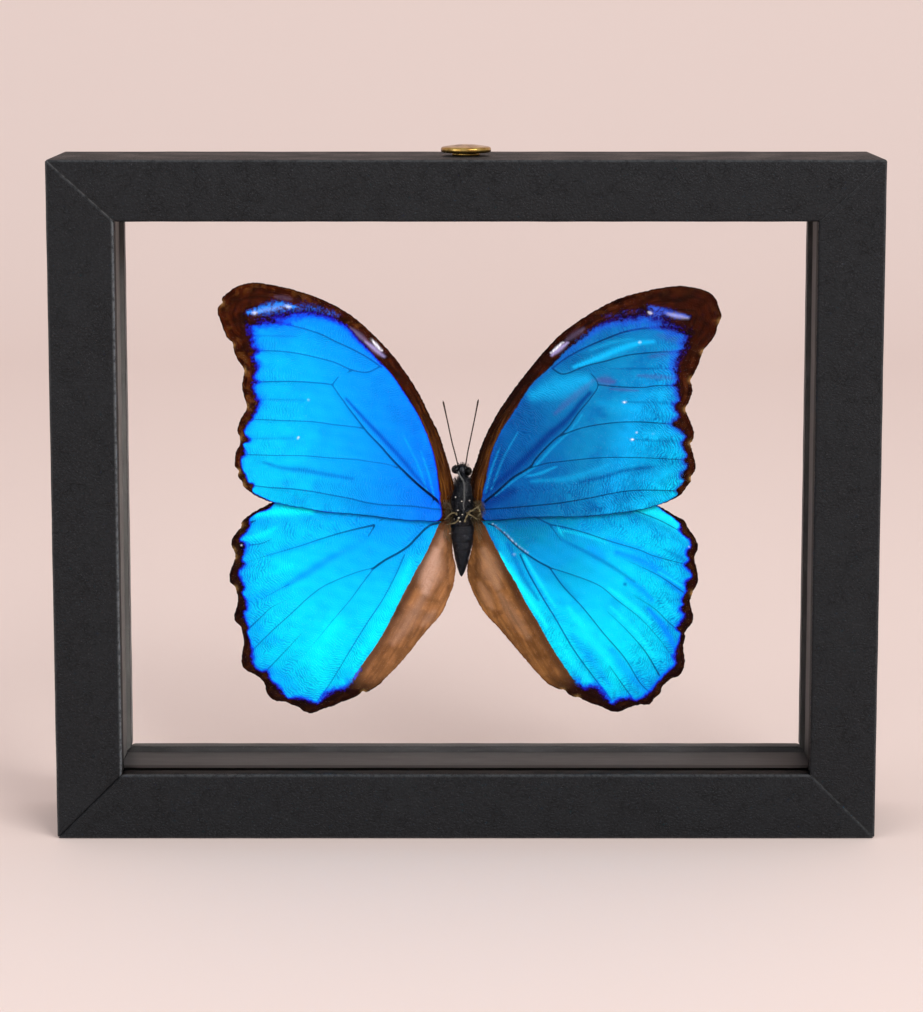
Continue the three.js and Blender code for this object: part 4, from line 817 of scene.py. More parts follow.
HINDWING_RIGHT = {
    "root": (2.0, 76.0),
    "depth": HINDWING_DEPTH,
    "outline": [
        (0.8, 78.6), (9, 81.5), (20, 84.3), (32, 84.8), (42, 83), (48.1, 80.2), (49.2, 79.7),
        (52.2, 77.9), (55.1, 76.2), (55.9, 74.7), (57.6, 72.2), (58.3, 70.9), (58.6, 69.4),
        (58.3, 68.4), (57.8, 67.5), (57.8, 66.1), (58.6, 62.7), (58.7, 61.2), (58.4, 60), (57.3, 57.9),
        (56.9, 56.4), (56.7, 55.6), (57, 54), (57.6, 51.2), (57.2, 49.9), (55.8, 48.1), (55.4, 47.2),
        (55.6, 46.4), (55.1, 43.9), (55.5, 40.9), (55.5, 39.3), (55.2, 38), (54.6, 36.9), (53.6, 36),
        (52.4, 35.7), (50.5, 34.2), (49.7, 33.1), (49.6, 32.3), (49, 31.3), (48, 30.6), (46.8, 28.9),
        (44.2, 28.8), (41.4, 28), (39.3, 27), (38.1, 26.9), (36.6, 27.2), (33.9, 28.5), (31.8, 29.2),
        (29.5, 30.2), (28.7, 30.8), (27.9, 30.7), (26.6, 31.2), (24.7, 32.9), (24.2, 32.8),
        (22.2, 33.5), (20.9, 34.2), (18.4, 36.7), (15, 40.7), (11.3, 45.1), (8.3, 48.7), (5.2, 52.1),
        (3.9, 53.8), (2, 57.2), (1.2, 59.1), (0.5, 61.2), (0.35, 63), (0.45, 64.8), (1.1, 67.3),
        (1.6, 70), (1.0, 74),
    ],
    "field": [
        (0.8, 78.6), (9, 81.5), (20, 84.3), (32, 84.8), (42, 83), (48.1, 80.2), (49.5, 79),
        (51.7, 77.6), (54.3, 75.3), (54.3, 74.1), (55.3, 72.8), (56.8, 71.1), (57, 69.6),
        (55.9, 68.2), (56.6, 66.3), (55.9, 65), (57.4, 62.1), (55.9, 60.4), (55.9, 57.7), (54.9, 56),
        (55.3, 54.5), (54.5, 53.7), (55.7, 51.9), (53.8, 48.7), (54.5, 47.5), (53.8, 43.9), (53.2, 42),
        (53.6, 40.1), (53.2, 38.8), (51.7, 37.4), (49, 34.6), (46.5, 31.5), (43.3, 29.8), (41.7, 30.2),
        (38.7, 29.6), (37.2, 28.7), (34.1, 31.7), (32.2, 33), (30.1, 32.8), (28.5, 33.8), (25.8, 37.6),
        (23, 41.8), (20.5, 46), (18, 50.6), (15.5, 54.7), (12.5, 60.6), (10.1, 64.6), (7.2, 70.1),
        (6.1, 72.2), (4.3, 75.6), (2.6, 77.2),
    ],
    "veins": [
        ([(5.7, 75.5), (7.5, 74.8), (9.9, 72.7), (13.3, 69.4), (17.6, 66.3), (21.2, 64.3)], 0.6, 0.6),
        ([(21.2, 64.3), (27.4, 62.3), (33.9, 59.6), (38.2, 56), (43.3, 52), (45.5, 49.9), (49.4, 45.4),
          (52.7, 40.8)], 0.4, 0.12),
        ([(21.2, 64.2), (24.5, 59.6), (29.6, 54), (34.6, 47.7), (40.4, 40.8), (44.4, 34.3),
          (46.6, 32.1)], 0.45, 0.35),
        ([(13.7, 67.6), (15.5, 63.6), (19.1, 57.1), (22.9, 50.8), (27, 43.7), (32.1, 36.5),
          (36.8, 30.3)], 0.5, 0.4),
        ([(16.9, 77.7), (20.9, 75.6), (25.2, 74.6), (29.6, 73.4), (36.1, 71.2), (43.7, 68.9), (47.3, 67.4),
          (55.6, 65.1)], 0.45, 0.25),
        ([(20.9, 75.6), (22.3, 73.7), (23.8, 71.6)], 0.4, 0.2),
        ([(40, 66.5), (46.2, 63.6), (49.5, 61.8), (55.6, 57.5)], 0.05, 0.45),
        ([(42.9, 78.8), (49.1, 76.3), (55.6, 72.7)], 0.4, 0.3),
        ([(42.6, 57.1), (48, 53.5), (51.3, 50.2), (53.8, 48.1)], 0.1, 0.4),
        ([(35.7, 53.1), (40.8, 48.1), (45.5, 42.6), (49.1, 36.5)], 0.05, 0.55),
        ([(36.4, 39), (40.4, 33.2), (42.2, 30.7)], 0.15, 0.45),
    ],
    "folds": [
        ([(10.4, 70.6), (12.9, 65.4), (14.7, 61.5), (18.3, 56)], 0.75, 0.65),
        ([(4.6, 75.2), (6.8, 71.4), (9.0, 67.4)], 0.8, 0.5),
        ([(14.6, 66), (17.5, 60.6), (20.4, 55.8)], 0.5, 0.35),
        ([(22, 63.2), (25.6, 59.0), (28, 56.5)], 0.6, 0.4),
        ([(23.8, 71.6), (29.6, 68.7), (36.1, 65.1), (42.6, 60.7)], 0.55, 0.6),
        ([(16.9, 77.6), (21, 75.4), (27, 74)], 0.5, 0.4),
        ([(40.0, 60.3), (40.4, 59.9)], 0.55, 0.9),
        ([(37.5, 29.8), (37.8, 32.6)], 0.35, 0.6),
        ([(50, 69), (53, 67.5), (55.8, 65.6)], 0.5, 0.5),
    ],
    "stains": [
        ([(38, 68.3), (43.6, 66.4), (49.6, 62.6), (54.5, 57.9)], 1.5, 0.75),
        ([(36, 71.5), (44, 68.6), (49, 66.6)], 1.2, 0.5),
        ([(46.2, 53.7), (49.5, 49.9), (51.6, 46.3), (53.6, 42.4)], 1.0, 0.9),
        ([(40.5, 61.5), (44.6, 58.6), (47, 56)], 1.0, 0.6),
        ([(37, 43), (41, 37.5), (45.5, 32.5)], 1.7, 0.5),
        ([(27, 47), (32, 40.5), (36.5, 34)], 1.2, 0.4),
        ([(52, 38.4), (47.5, 33.5)], 1.0, 0.55),
        ([(31, 69.4), (35, 67)], 1.5, 0.35),
    ],
    "gleams": [
        ([(43.5, 79.4), (48.5, 78.2), (52.8, 75.6), (55.5, 72.5)], 2.0, 0.85),
        ([(24, 74.0), (30, 72.6), (36, 70.6)], 0.45, 0.4),
        ([(8.4, 68.0), (11.4, 63.2), (15.4, 57.0), (20.6, 49)], 0.9, 0.9),
        ([(14.6, 67.4), (18.8, 60.2), (22.6, 54.2)], 0.6, 0.6),
        ([(36.2, 59.0), (42, 54.4), (47, 50)], 0.8, 0.6), ([(36.6, 54.2), (43, 47.6), (48, 41)], 0.8, 0.5),
        ([(26, 54), (31, 47), (37, 39)], 1.3, 0.5), ([(24, 44.8), (29, 37.5), (34, 32.6)], 0.9, 0.55),
        ([(48.5, 63.4), (55.6, 58.9)], 0.3, 0.6), ([(50, 56), (53.6, 51.5)], 0.9, 0.4),
        ([(23.0, 75.0), (24.4, 72.4)], 0.3, 0.5),
    ],
    "glints": [
        ([(56.4, 69.6), (56.4, 69.4)], 0.22, 0.6),
        ([(6.4, 75.7), (9.4, 73.5), (12.6, 70.4), (15.6, 68.1)], 0.14, 0.26),
        ([(12.1, 67.9), (12.4, 67.4)], 0.3, 0.15),
    ],
    "streak": [(4.7, 75.5), (28.5, 33.8)],
    "notches": [(57.2, 57.6), (28.3, 30.8), (24.6, 32.8)],
    "eyespots": [(47, 70, 3.0), (46, 52, 2.8), (38, 40, 2.6)],
    "crease_shade": [([(2.4, 73), (2.6, 66), (2.6, 59)], 0.3, 0.4),
               ([(9.4, 66.5), (11.6, 61.5), (13.4, 56.5)], 1.2, 0.65),
               ([(6.6, 72), (9, 66.6)], 0.8, 0.4), ([(9.6, 57), (12, 51.5), (15, 47)], 0.3, 0.3),
               ([(15.5, 47.5), (18.5, 42.5), (21, 38)], 0.5, 0.3)],
    "sheen": [([(4.6, 68.5), (5.8, 65), (7.0, 62), (8.0, 59.4)], 2.1, 0.5),
              ([(8.6, 57.5), (12, 52), (15.8, 46.5)], 1.5, 0.35), ([(3.6, 60), (6.6, 54)], 1.3, 0.35)],
    "haze": [([(26.8, 37.6), (29.4, 35.2), (33, 33.6)], 1.4, 1.0)],
}


def wing(name, plan, materials, seed):
    """One wing as a thin closed sheet, its veins raised, with what its colours need as attributes."""
    rng = np.random.default_rng(seed)
    loop = spline(plan["outline"], 0.4, closed=True)
    # Fringe scales roughen the margin a little.
    normal = np.roll(loop, -1, axis=0) - np.roll(loop, 1, axis=0)
    normal = np.stack([normal[:, 1], -normal[:, 0]], axis=1)
    normal /= np.linalg.norm(normal, axis=1)[:, None]
    loop = loop + normal * rng.uniform(-0.09, 0.09, len(loop))[:, None]
    low, high = loop.min(0), loop.max(0)
    xs = np.arange(low[0], high[0], GRID)
    zs = np.arange(low[1], high[1], GRID * 0.87)
    grid_x, grid_z = np.meshgrid(xs, zs)
    grid_x = grid_x + (np.arange(len(zs)) % 2)[:, None] * GRID / 2
    points = np.stack([grid_x.ravel(), grid_z.ravel()], axis=1)
    points += rng.uniform(-0.16, 0.16, points.shape) * GRID
    edge_gap, _, _ = to_segments(points, loop, closed=True)
    points = points[inside(points, loop) & (edge_gap > GRID * 0.55)]
    lines = [spline(line, 0.4) for line, _, _ in plan["veins"]]
    kept_lines = []
    for line in lines:
        line = line[inside(line, loop)]
        gap, _, _ = to_segments(line, loop, closed=True)
        line = line[gap > 0.25]
        if len(line) > 1:
            kept_lines.append(line)
            gap, _, _ = to_segments(points, line)
            points = points[gap > GRID * 0.45]
    coords_2d = [Vector(p) for p in loop]
    edges = []
    for line in kept_lines:
        first = len(coords_2d)
        coords_2d += [Vector(p) for p in line]
        edges += [(first + i, first + i + 1) for i in range(len(line) - 1)]
    coords_2d += [Vector(p) for p in points]
    flat, _, triangles, _, _, _ = delaunay_2d_cdt(coords_2d, edges, [list(range(len(loop)))], 1, 1e-5)
    flat = np.array([(p.x, p.y) for p in flat])

    rim, _, _ = to_segments(flat, loop, closed=True)
    field_loop = spline(plan["field"], 0.5, closed=True)
    field, _, _ = to_segments(flat, field_loop, closed=True)
    field = np.where(inside(flat, field_loop), field, -field)
    vein = np.full(len(flat), 9.0)
    bold = np.zeros(len(flat))
    relief = np.zeros(len(flat))
    for (_, start, end), line in zip(plan["veins"], lines):
        gap, _, place = to_segments(flat, line)
        width = (start + (end - start) * place) * 0.8
        bold = np.maximum(bold, np.clip((width - 0.3) / 0.35, 0, 1) * (gap < 0.8))
        vein = np.minimum(vein, gap - width / 2)
        relief = np.maximum(relief, np.exp(-((gap / 0.42) ** 2)) * np.maximum(width, 0) * 0.3)

    def glow(lines):
        """The strongest of some soft strokes, each points with a width and a strength."""
        level = np.zeros(len(flat))
        for line, width, strength in lines:
            gap, _, place = to_segments(flat, spline(line, 0.6))
            tapered = width * (0.45 + 0.55 * np.sin(np.pi * np.clip(place, 0.04, 0.96)))
            level = np.maximum(level, strength * np.exp(-((gap / tapered) ** 2)))
        return level

    notch = np.zeros(len(flat))
    for x, z in plan["notches"]:
        notch = np.maximum(notch, np.exp(-(((flat - (x, z)) ** 2).sum(1)) / 0.75**2))
    eyespot = np.full(len(flat), 1.0)
    for x, z, radius in plan["eyespots"]:
        eyespot = np.minimum(eyespot, np.sqrt(((flat - (x, z)) ** 2).sum(1)) / radius)
    root = np.sqrt(((flat - plan["root"]) ** 2).sum(1))
    if "lead" in plan:
        costal, _, _ = to_segments(flat, spline(plan["outline"][: plan["lead"]], 0.8))
        bright = 0.6 * root + 1.1 * costal
    else:
        bright = np.minimum(root * 1.25, 66)
    anal = np.zeros(len(flat))
    mid = np.abs(flat[:, 0] - BODY_X)
    if "crease_shade" in plan:
        # Only the fold side of the blue counts: there the blue stops clean, with no violet.
        fold_side = np.clip((5 - field) / 2, 0, 1) * (flat[:, 1] < 78.5)
        anal = fold_side * np.clip((flat[:, 1] - 32.5) / 4, 0, 1) * np.clip((30 - mid) / 3, 0, 1)
        # Brightest in a long streak inside the fold, deeper again towards the outer margin.
        streak, _, place = to_segments(flat, spline(plan["streak"], 1.0))
        bright = bright - 34 * np.exp(-((rim / 6) ** 2)) * (1 - anal)
        bright += 26 * np.exp(-((streak / (3 + 7 * place)) ** 2))
    attributes = {
        "rim": rim,
        "field": field,
        "vein": vein,
        "bold": bold,
        "root": root,
        "bright": bright,
        "fold": glow(plan["folds"]),
        "gleam": glow(plan["gleams"]),
        "glint_highlight": glow(plan["glints"]),
        "haze": glow(plan.get("haze", [])),
        "stain": glow(plan.get("stains", [])),
        "notch": notch * np.exp(-rim / 0.6),
        "eyespot": eyespot,
        "anal": anal,
        "crease_shade": glow(plan.get("crease_shade", [])),
        "sheen": glow(plan.get("sheen", [])),
        "tip": np.clip((36 - flat[:, 1]) / 5, 0, 1) * anal * 0.8,
    }

    # The sheet dips at the root, bows gently outward and puckers between the veins.
    side = math.copysign(1, plan["root"][0] + 1)
    bow = 0.25 * wobble(flat[:, 0] * 0.09, flat[:, 1] * 0.11, seed)
    bow += 0.35 * np.exp(-((root / 7) ** 2))
    bow -= 0.35 * np.exp(-(((root - 30) / 22) ** 2))
    bow = bow * np.clip(rim / 4, 0.3, 1)
    # Beside the body the sheet turns back, so that the body stands proud of it.
    turn, spread = (1.9, 2.0) if "crease_shade" in plan else (1.2, 1.6)
    bow += turn * np.exp(-((np.clip(mid - 2.3, 0, None) / spread) ** 2))
    pucker = 0.07 * wobble(flat[:, 0] * 0.9 * side, flat[:, 1] * 0.9, seed + 2)
    y_front = depth_to_y(plan["depth"]) + bow + pucker - relief * 0.8
    y_back = depth_to_y(plan["depth"]) + bow + pucker + relief * 0.3 + 0.16
    count = len(flat)
    front = np.stack([flat[:, 0], y_front, flat[:, 1]], axis=1)
    back = np.stack([flat[:, 0], y_back, flat[:, 1]], axis=1)
    front_faces, directed = [], {}
    for a, b, c in triangles:
        ab, ac = flat[b] - flat[a], flat[c] - flat[a]
        if ab[0] * ac[1] - ab[1] * ac[0] < 0:
            b, c = c, b
        front_faces.append((a, b, c))
        for edge in ((a, b), (b, c), (c, a)):
            directed[edge] = True
    walls = [(a, a + count, b + count, b) for a, b in directed if (b, a) not in directed]
    back_faces = [(a + count, c + count, b + count) for a, b, c in front_faces]
    faces = front_faces + back_faces + walls
    slots = [0] * len(front_faces) + [1] * len(back_faces) + [0] * len(walls)
    both = {key: np.concatenate([values, values]) for key, values in attributes.items()}
    obj = add_mesh(name, np.vstack([front, back]), faces, materials, slots, attributes=both)
    return fit(obj, name.replace("_shown", ""))


# Tones of each wing. "blue" runs from the root and leading edge outward, the other hex values are
# named for what they colour, and the numbers are shares or, for "row_gap" and "clean", millimetres.
# The right wings' tones are darker, deeper copies of the left ones: painted light and shade for how
# the light falls on the wings of each side.
LEFT_FORE_LIT_TONES = {
    "blue": [(0.04, "043bd4"), (0.17, "046cd8"), (0.38, "0484da"), (0.55, "049bdc"), (0.66, "04aade"),
             (0.9, "04bce0")],
    "shade": "0482d4", "between": "0464c0", "light": "a8d4f4", "furrow_shade": "044cb4", "vein": "04509c",
    "bold_vein": "030c28", "vein_share": 0.72, "indigo": "0a38e0", "violet": "1c0c84", "dusk": "10031c",
    "dark": "140501", "brown": "3e1404", "pale_brown": "62300c", "row": 0.42, "glint": 0.12, "crease_shade": 0.16,
    "patch": 0.45, "gleam": "04b8e6", "stain": "3a4484", "haze": "2a86f0", "fringe": 0.18, "waver": 2.0,
    "row_gap": 0.62, "lead": 0.35, "mark": "7c4a1e", "marks": 0.3, "clean": (38.0, 58.0), "plainness": 0.0,
    "dim": "0c3aa0",
    "silk_dark": "603e24", "silk": "94643e", "silk_sheen": "b28c78", "silk_edge": "543624",
}
LEFT_HIND_LIT_TONES = dict(
    LEFT_FORE_LIT_TONES,
    blue=[(0.1, "0480dc"), (0.3, "0498de"), (0.43, "04afdf"), (0.58, "04c3e1"), (0.72, "04cbe2"),
          (0.9, "04dae4")],
    shade="04a4dc", between="0468c4", furrow_shade="0468c8", vein="045a9c", gleam="04e2ec", stain="048ce4",
    row=0.75, crease_shade=0.3, fringe=0.1, haze="3c50c8", waver=2.6, row_gap=0.68, clean=(8.0, 34.0),
    marks=0.08, dark="0d0302", brown="240b05", pale_brown="3a1a0a",
)
RIGHT_FORE_SHADED_TONES = dict(
    LEFT_FORE_LIT_TONES,
    blue=[(0.05, "042e80"), (0.13, "04387c"), (0.3, "065890"), (0.5, "0a72a4"), (0.57, "0a78ac"),
          (0.65, "0892ce"), (0.8, "04a8da"), (0.95, "04c4e4")],
    shade="045492", between="043a7c", light="7cc4ea", furrow_shade="04286c", vein="04224a", bold_vein="02060e",
    gleam="0ca4dc", row=0.7, glint=0.25, crease_shade=0.3, patch=0.6, indigo="184cc0", violet="180a60",
    dark="0d0301", brown="341004", pale_brown="50280e", haze="3458c4", fringe=0.2, waver=3.4, row_gap=0.68,
    lead=0.85, mark="5c3216", marks=0.22, plainness=0.85, dim="14309a",
)
RIGHT_HIND_SHADED_TONES = dict(
    LEFT_HIND_LIT_TONES,
    blue=[(0.06, "045880"), (0.2, "047094"), (0.34, "0488b4"), (0.5, "04aedc"), (0.62, "04c0de"),
          (0.78, "04ccde"), (0.92, "04dce2")],
    shade="0488d0", between="0460a8", furrow_shade="0450a0", light="7ce0f4", vein="043866", gleam="10dcee",
    stain="0474dc", row=0.75, glint=0.2, crease_shade=0.45, silk_dark="50321a", silk="845830", silk_sheen="a68064",
    silk_edge="482c1a",
)

underside = wing_underside()
for seed, (name, plan, tones) in enumerate(
    (
        ("forewing_left", FOREWING_LEFT, LEFT_FORE_LIT_TONES),
        ("hindwing_left", HINDWING_LEFT, LEFT_HIND_LIT_TONES),
        ("forewing_right", FOREWING_RIGHT, RIGHT_FORE_SHADED_TONES),
        ("hindwing_right", HINDWING_RIGHT, RIGHT_HIND_SHADED_TONES),
    ),
    start=11,
):
    wing(name + "_shown", plan, [wing_scales(name, tones), underside], seed)

# ---- Frame -------------------------------------------------------------------------------------

leather = leatherette()
# Each side's board is toned lighter or darker, and its black strip behind the front pane set deeper or
# shallower, for the light that reaches that side: painted light and shade.
spacer_grey_shaded_by_side = {
    "left": spacer_board("left", "545250", "64615e", 0.8),
    "right": spacer_board("right", "383635", "444140", 4.6),
    "bottom": spacer_board("bottom", "373535", "434141", 4.6),
    "top": spacer_board("top", "373535", "434141", 0.8),
}
# A flat, lightless black, laid on the lip's inner face and recess as painted shade.
painted_shade_black = mottled("flat_black_painted_shade", "040404", "090909", 0.6, specular=0.1)
glass = clear_pane()
brass = turned_brass()


def coat(name, material):
    """Gives a CAD node that is shown as it is its material."""
    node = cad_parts[name]
    node.data.materials.clear()
    node.data.materials.append(material)
    return node


CORNERS = {
    "bottom": ((-1, 0), (1, 0)),
    "right": ((1, 0), (1, 1)),
    "top": ((1, 1), (-1, 1)),
    "left": ((-1, 1), (-1, 0)),
}


# Where each rail's wrap is scuffed and lit as pale lines, part scuffing and part painted highlight:
# across, depth and how much.
WORN_AND_LIT_ARRISES = {
    "bottom": [(SIDE_RAIL, 0, 0.28), (0, 0, 0.25)],
    "right": [(0, 0, 0.3)],
    "top": [(0, 0, 0.32), (0, DEPTH, 0.2)],
    "left": [(SIDE_RAIL, 0, 0.85), (0, 0, 0.3)],
}
# How much the first and last mitre of each rail is scuffed and lit, part scuffing and part painted
# highlight, and how deep it turns in.
MITRES = {
    "bottom": ((0.0, 0.32), (0.3, 0.26)),
    "right": ((0.5, 0.22), (0.12, 0.14)),
    "top": ((0.12, 0.14), (0.8, 0.22)),
    "left": ((0.3, 0.22), (0.0, 0.32)),
}


def mitre_point(corner, width):
    """Where a mitre line crosses a width of the side rail, for arrays of widths."""
    x = corner[0] * (WIDTH / 2 - width)
    z = HEIGHT - width * TOP_RAIL / SIDE_RAIL if corner[1] else width + 0 * x
    return np.stack([x, z], axis=-1)


def rounded(points, radii, steps):
    """A closed polygon with its corners rounded."""
    out = []
    p = np.asarray(points, float)
    for i, radius in enumerate(radii):
        before, here, after = p[i - 1], p[i], p[(i + 1) % len(p)]
        if radius == 0:
            out.append(here)
            continue
        u = (before - here) / np.linalg.norm(before - here)
        v = (after - here) / np.linalg.norm(after - here)
        for t in np.linspace(0, 1, steps + 1):
            out.append(here + u * radius * (1 - t) ** 2 + v * radius * t**2)
    return np.array(out)


def rail(side, seed):
    """A mitred rail, wrapped in leatherette: its arrises waver and its ends turn in at the mitres."""
    section = rounded(
        [
            (0, 0), (SIDE_RAIL, 0), (SIDE_RAIL, LIP_DEPTH), (RECESS, LIP_DEPTH), (RECESS, PANE_DEPTH),
            (REBATE, PANE_DEPTH), (REBATE, REAR_LIP_DEPTH), (REAR_LIP, REAR_LIP_DEPTH), (REAR_LIP, DEPTH),
            (0, DEPTH),
        ],
        [1.0, 0.8, 0.5, 0.3, 0.3, 0, 0, 0.4, 0.8, 1.0],
        6,
    )
    tangent = np.roll(section, -1, axis=0) - np.roll(section, 1, axis=0)
    normal = np.stack([-tangent[:, 1], tangent[:, 0]], axis=1)
    normal /= np.maximum(np.linalg.norm(normal, axis=1), 1e-9)[:, None]
    start, end = CORNERS[side]
    length = np.linalg.norm(mitre_point(end, np.zeros(1)) - mitre_point(start, np.zeros(1)))
    ends = [0.06, 0.14, 0.3, 0.6, 1.2]
    places = np.concatenate([ends, np.linspace(2.4, length - 2.4, 110), length - np.array(ends[::-1])])
    verts, wear_and_highlight = [], []
    worn_and_lit = np.zeros(len(section))
    for x, depth, amount in WORN_AND_LIT_ARRISES[side]:
        gap = np.hypot(section[:, 0] - x, section[:, 1] - depth)
        worn_and_lit = np.maximum(worn_and_lit, amount * np.clip(1.25 - gap / 0.55, 0, 1))
    for place in places:
        near = min(place, length - place)
        rubbed_and_lit, turned_in = MITRES[side][int(place > length / 2)]
        wear_and_highlight.extend(np.maximum(worn_and_lit, rubbed_and_lit * math.exp(-((near / 0.26) ** 2)) * (section[:, 1] < 0.5)))
        inset = turned_in * math.exp(-(((near - 0.06) / 0.22) ** 2))
        waver = 0.035 * wobble(place * 0.31 + section[:, 0] * 0.5, section[:, 1] * 0.6, seed)
        ring = section + normal * (inset + waver)[:, None]
        a = mitre_point(start, ring[:, 0])
        b = mitre_point(end, ring[:, 0])
        along = (b - a) / np.linalg.norm(b - a, axis=1)[:, None]
        if place < length / 2:
            at = a + along * place
            share = place / (length / 2)
            at = a * (1 - share) + (a + b) / 2 * share if place > 1.2 else at
        else:
            back = length - place
            share = back / (length / 2)
            at = b * (1 - share) + (a + b) / 2 * share if back > 1.2 else b - along * back
        verts.extend(np.stack([at[:, 0], depth_to_y(ring[:, 1]), at[:, 1]], axis=1))
    faces = ring_faces(len(places), len(section))
    # The rear lip's step and inner face are bare satin board, in their side's tones of painted light and
    # shade.
    middle = (section + np.roll(section, -1, axis=0)) / 2
    bare = (np.abs(middle[:, 0] - REAR_LIP) < 0.05) & (middle[:, 1] > REAR_LIP_DEPTH)
    bare |= (np.abs(middle[:, 1] - REAR_LIP_DEPTH) < 0.05) & (middle[:, 0] > REBATE)
    # The front lip's inner face and the recess behind it are flat black: painted shade from the lip.
    painted = (middle[:, 0] > RECESS - 0.05) & (middle[:, 1] > 0.7) & (middle[:, 1] < PANE_DEPTH)
    slots = np.concatenate([np.tile(np.where(painted, 2, bare), len(places) - 1), [0, 0]]).astype(int)
    finishes = [leather, spacer_grey_shaded_by_side[side], painted_shade_black]
    name = "rail_" + side
    obj = add_mesh(name + "_shown", verts, faces, finishes, slots, attributes={"wear_and_highlight": wear_and_highlight})
    bpy.context.view_layer.objects.active = obj
    obj.data.set_sharp_from_angle(angle=math.radians(50))
    return fit(obj, name)


for i, side in enumerate(CORNERS):
    rail(side, 1.7 * i)
    coat("spacer_" + side, spacer_grey_shaded_by_side[side])
for name in ("pane_front", "pane_rear"):
    coat(name, glass).visible_shadow = False


def stud():
    """The turned brass stud: a short foot, a thin flange and a domed cap."""
    profile = [
        (0, 0), (3.2, 0), (3.42, 0.1), (3.5, 0.32), (3.45, 0.56), (3.6, 0.68), (5.4, 0.74), (5.95, 0.82),
        (6.13, 0.98), (6.2, 1.3), (6.2, 1.7), (6.12, 1.95), (5.9, 2.12), (5.6, 2.2), (5.1, 2.28), (4.2, 2.42),
        (3.2, 2.56), (2.2, 2.67), (1.1, 2.74), (0, 2.76),
    ]
    sides = 96
    verts, faces = [(0, 0, HEIGHT)], []
    for r, h in profile[1:-1]:
        for k in range(sides):
            angle = 2 * math.pi * k / sides
            verts.append((r * math.cos(angle), r * math.sin(angle), HEIGHT + h))
    verts.append((0, 0, HEIGHT + profile[-1][1]))
    last = len(verts) - 1
    rings = len(profile) - 2
    for k in range(sides):
        following = (k + 1) % sides
        faces.append((0, 1 + following, 1 + k))
        for i in range(rings - 1):
            a, b = 1 + i * sides + k, 1 + i * sides + following
            faces.append((a, b, b + sides, a + sides))
        top = 1 + (rings - 1) * sides
        faces.append((top + k, top + following, last))
    obj = add_mesh("hanging_stud_shown", verts, faces, [brass])
    obj.data.set_sharp_from_angle(angle=math.radians(40))
    return fit(obj, "hanging_stud")


stud()

# ---- Body --------------------------------------------------------------------------------------

# Chitin, grown as the insect's shell and dried: blue-black and satin, with a short mottle across it.
chitin = mottled("grown_black_chitin", "050609", "11141c", 0.5, 0.625, 0.2, (1, 1, 2.4))
# Chitin, grown as the eyes' facets: black, with a small soft gleam. A facet is 0.02 mm wide, too fine
# to show, and is drawn eight times as coarse.
eye_gloss = mottled("grown_eye_chitin", "030303", "080707", 0.3, 0.1667, 0.12)
# Hair, grown as hollow bristles: dull, and dark on the thorax but brown at the shoulders.
dark_hair = mottled("grown_dark_hair", "060607", "121115", 0.6)
brown_hair = mottled("grown_brown_hair", "32261a", "6a5a40", 0.65)
# Loose scales, grown pale: small dull dots on the black.
pale_scales = mottled("grown_pale_scales", "b7a894", "e6dccb", 0.6)
# Chitin of the thin limbs, dried: brown to olive, dull, uneven in tone along its length.
antenna_skin = mottled("dried_antenna_chitin", "1c1614", "42362f", 0.55, 0.4)
leg_skin = mottled("dried_leg_chitin", "3a3222", "776a4e", 0.6, 0.3333)
tongue = mottled("dried_proboscis_chitin", "2c2c2c", "5c5c5a", 0.5, 0.25)
# Clear glue, set from a drop: pale and smooth, with a soft shine.
glue = mottled("set_clear_glue", "cfccbc", "e2dfd2", 0.25, 1.667)

# Sections down the body: z, centre x, half-width, half-depth.
TRUNK = [
    (90.5, -1.05, 0.05, 0.05), (90.25, -1.05, 0.95, 0.8), (89.6, -1.05, 1.5, 1.4), (88.8, -0.95, 1.6, 1.6),
    (88.0, -0.75, 1.2, 1.4), (87.4, -0.6, 1.1, 1.3), (86.8, -0.55, 1.6, 1.9), (86.0, -0.5, 2.15, 2.5),
    (84.8, -0.6, 2.35, 3.1), (83.2, -0.9, 2.75, 3.7), (81.5, -1.0, 2.95, 4.05), (79.6, -1.0, 3.05, 4.2),
    (77.8, -0.95, 3.0, 3.9), (76.4, -0.95, 2.85, 3.4), (75.4, -0.95, 2.85, 3.0), (73.8, -0.9, 2.95, 2.95),
    (72, -0.9, 2.82, 2.85), (70, -0.88, 2.5, 2.7), (68, -0.95, 2.15, 2.4), (66.4, -1.0, 1.78, 2.0),
    (64.8, -1.0, 1.4, 1.6), (63.4, -1.05, 0.95, 1.1), (62.2, -1.1, 0.5, 0.6), (61.6, -1.1, 0.05, 0.05),
]


def trunk():
    """Head, thorax and ringed abdomen as one closed skin, with the eyes on the head."""
    rows = spline(TRUNK, 0.22)
    sides = 56
    verts = []
    for z, x, half_width, half_depth in rows:
        ring_cut = 0.0
        if z < 75:
            ring_cut = 0.05 * max(0.0, math.cos(2 * math.pi * (75 - z) / 2.1)) ** 8
        for k in range(sides):
            angle = 2 * math.pi * k / sides
            lump = 1 + 0.035 * float(wobble(angle * 3, z * 1.4, 3)) - ring_cut
            y = depth_to_y(BODY_DEPTH) + half_depth * lump * math.sin(angle)
            verts.append((x + half_width * lump * math.cos(angle), y, z))
    return add_mesh("trunk", verts, ring_faces(len(rows), sides), [chitin])


def ball(centre, radii, rows=20, sides=28):
    """Vertices and faces of an upright egg shape."""
    verts = []
    for i in range(rows + 1):
        polar = math.pi * (i + 0.02) / (rows + 0.04)
        for k in range(sides):
            angle = 2 * math.pi * k / sides
            offset = (math.sin(polar) * math.cos(angle), math.sin(polar) * math.sin(angle), math.cos(polar))
            verts.append([c + r * o for c, r, o in zip(centre, radii, offset)])
    return verts, ring_faces(rows + 1, sides)


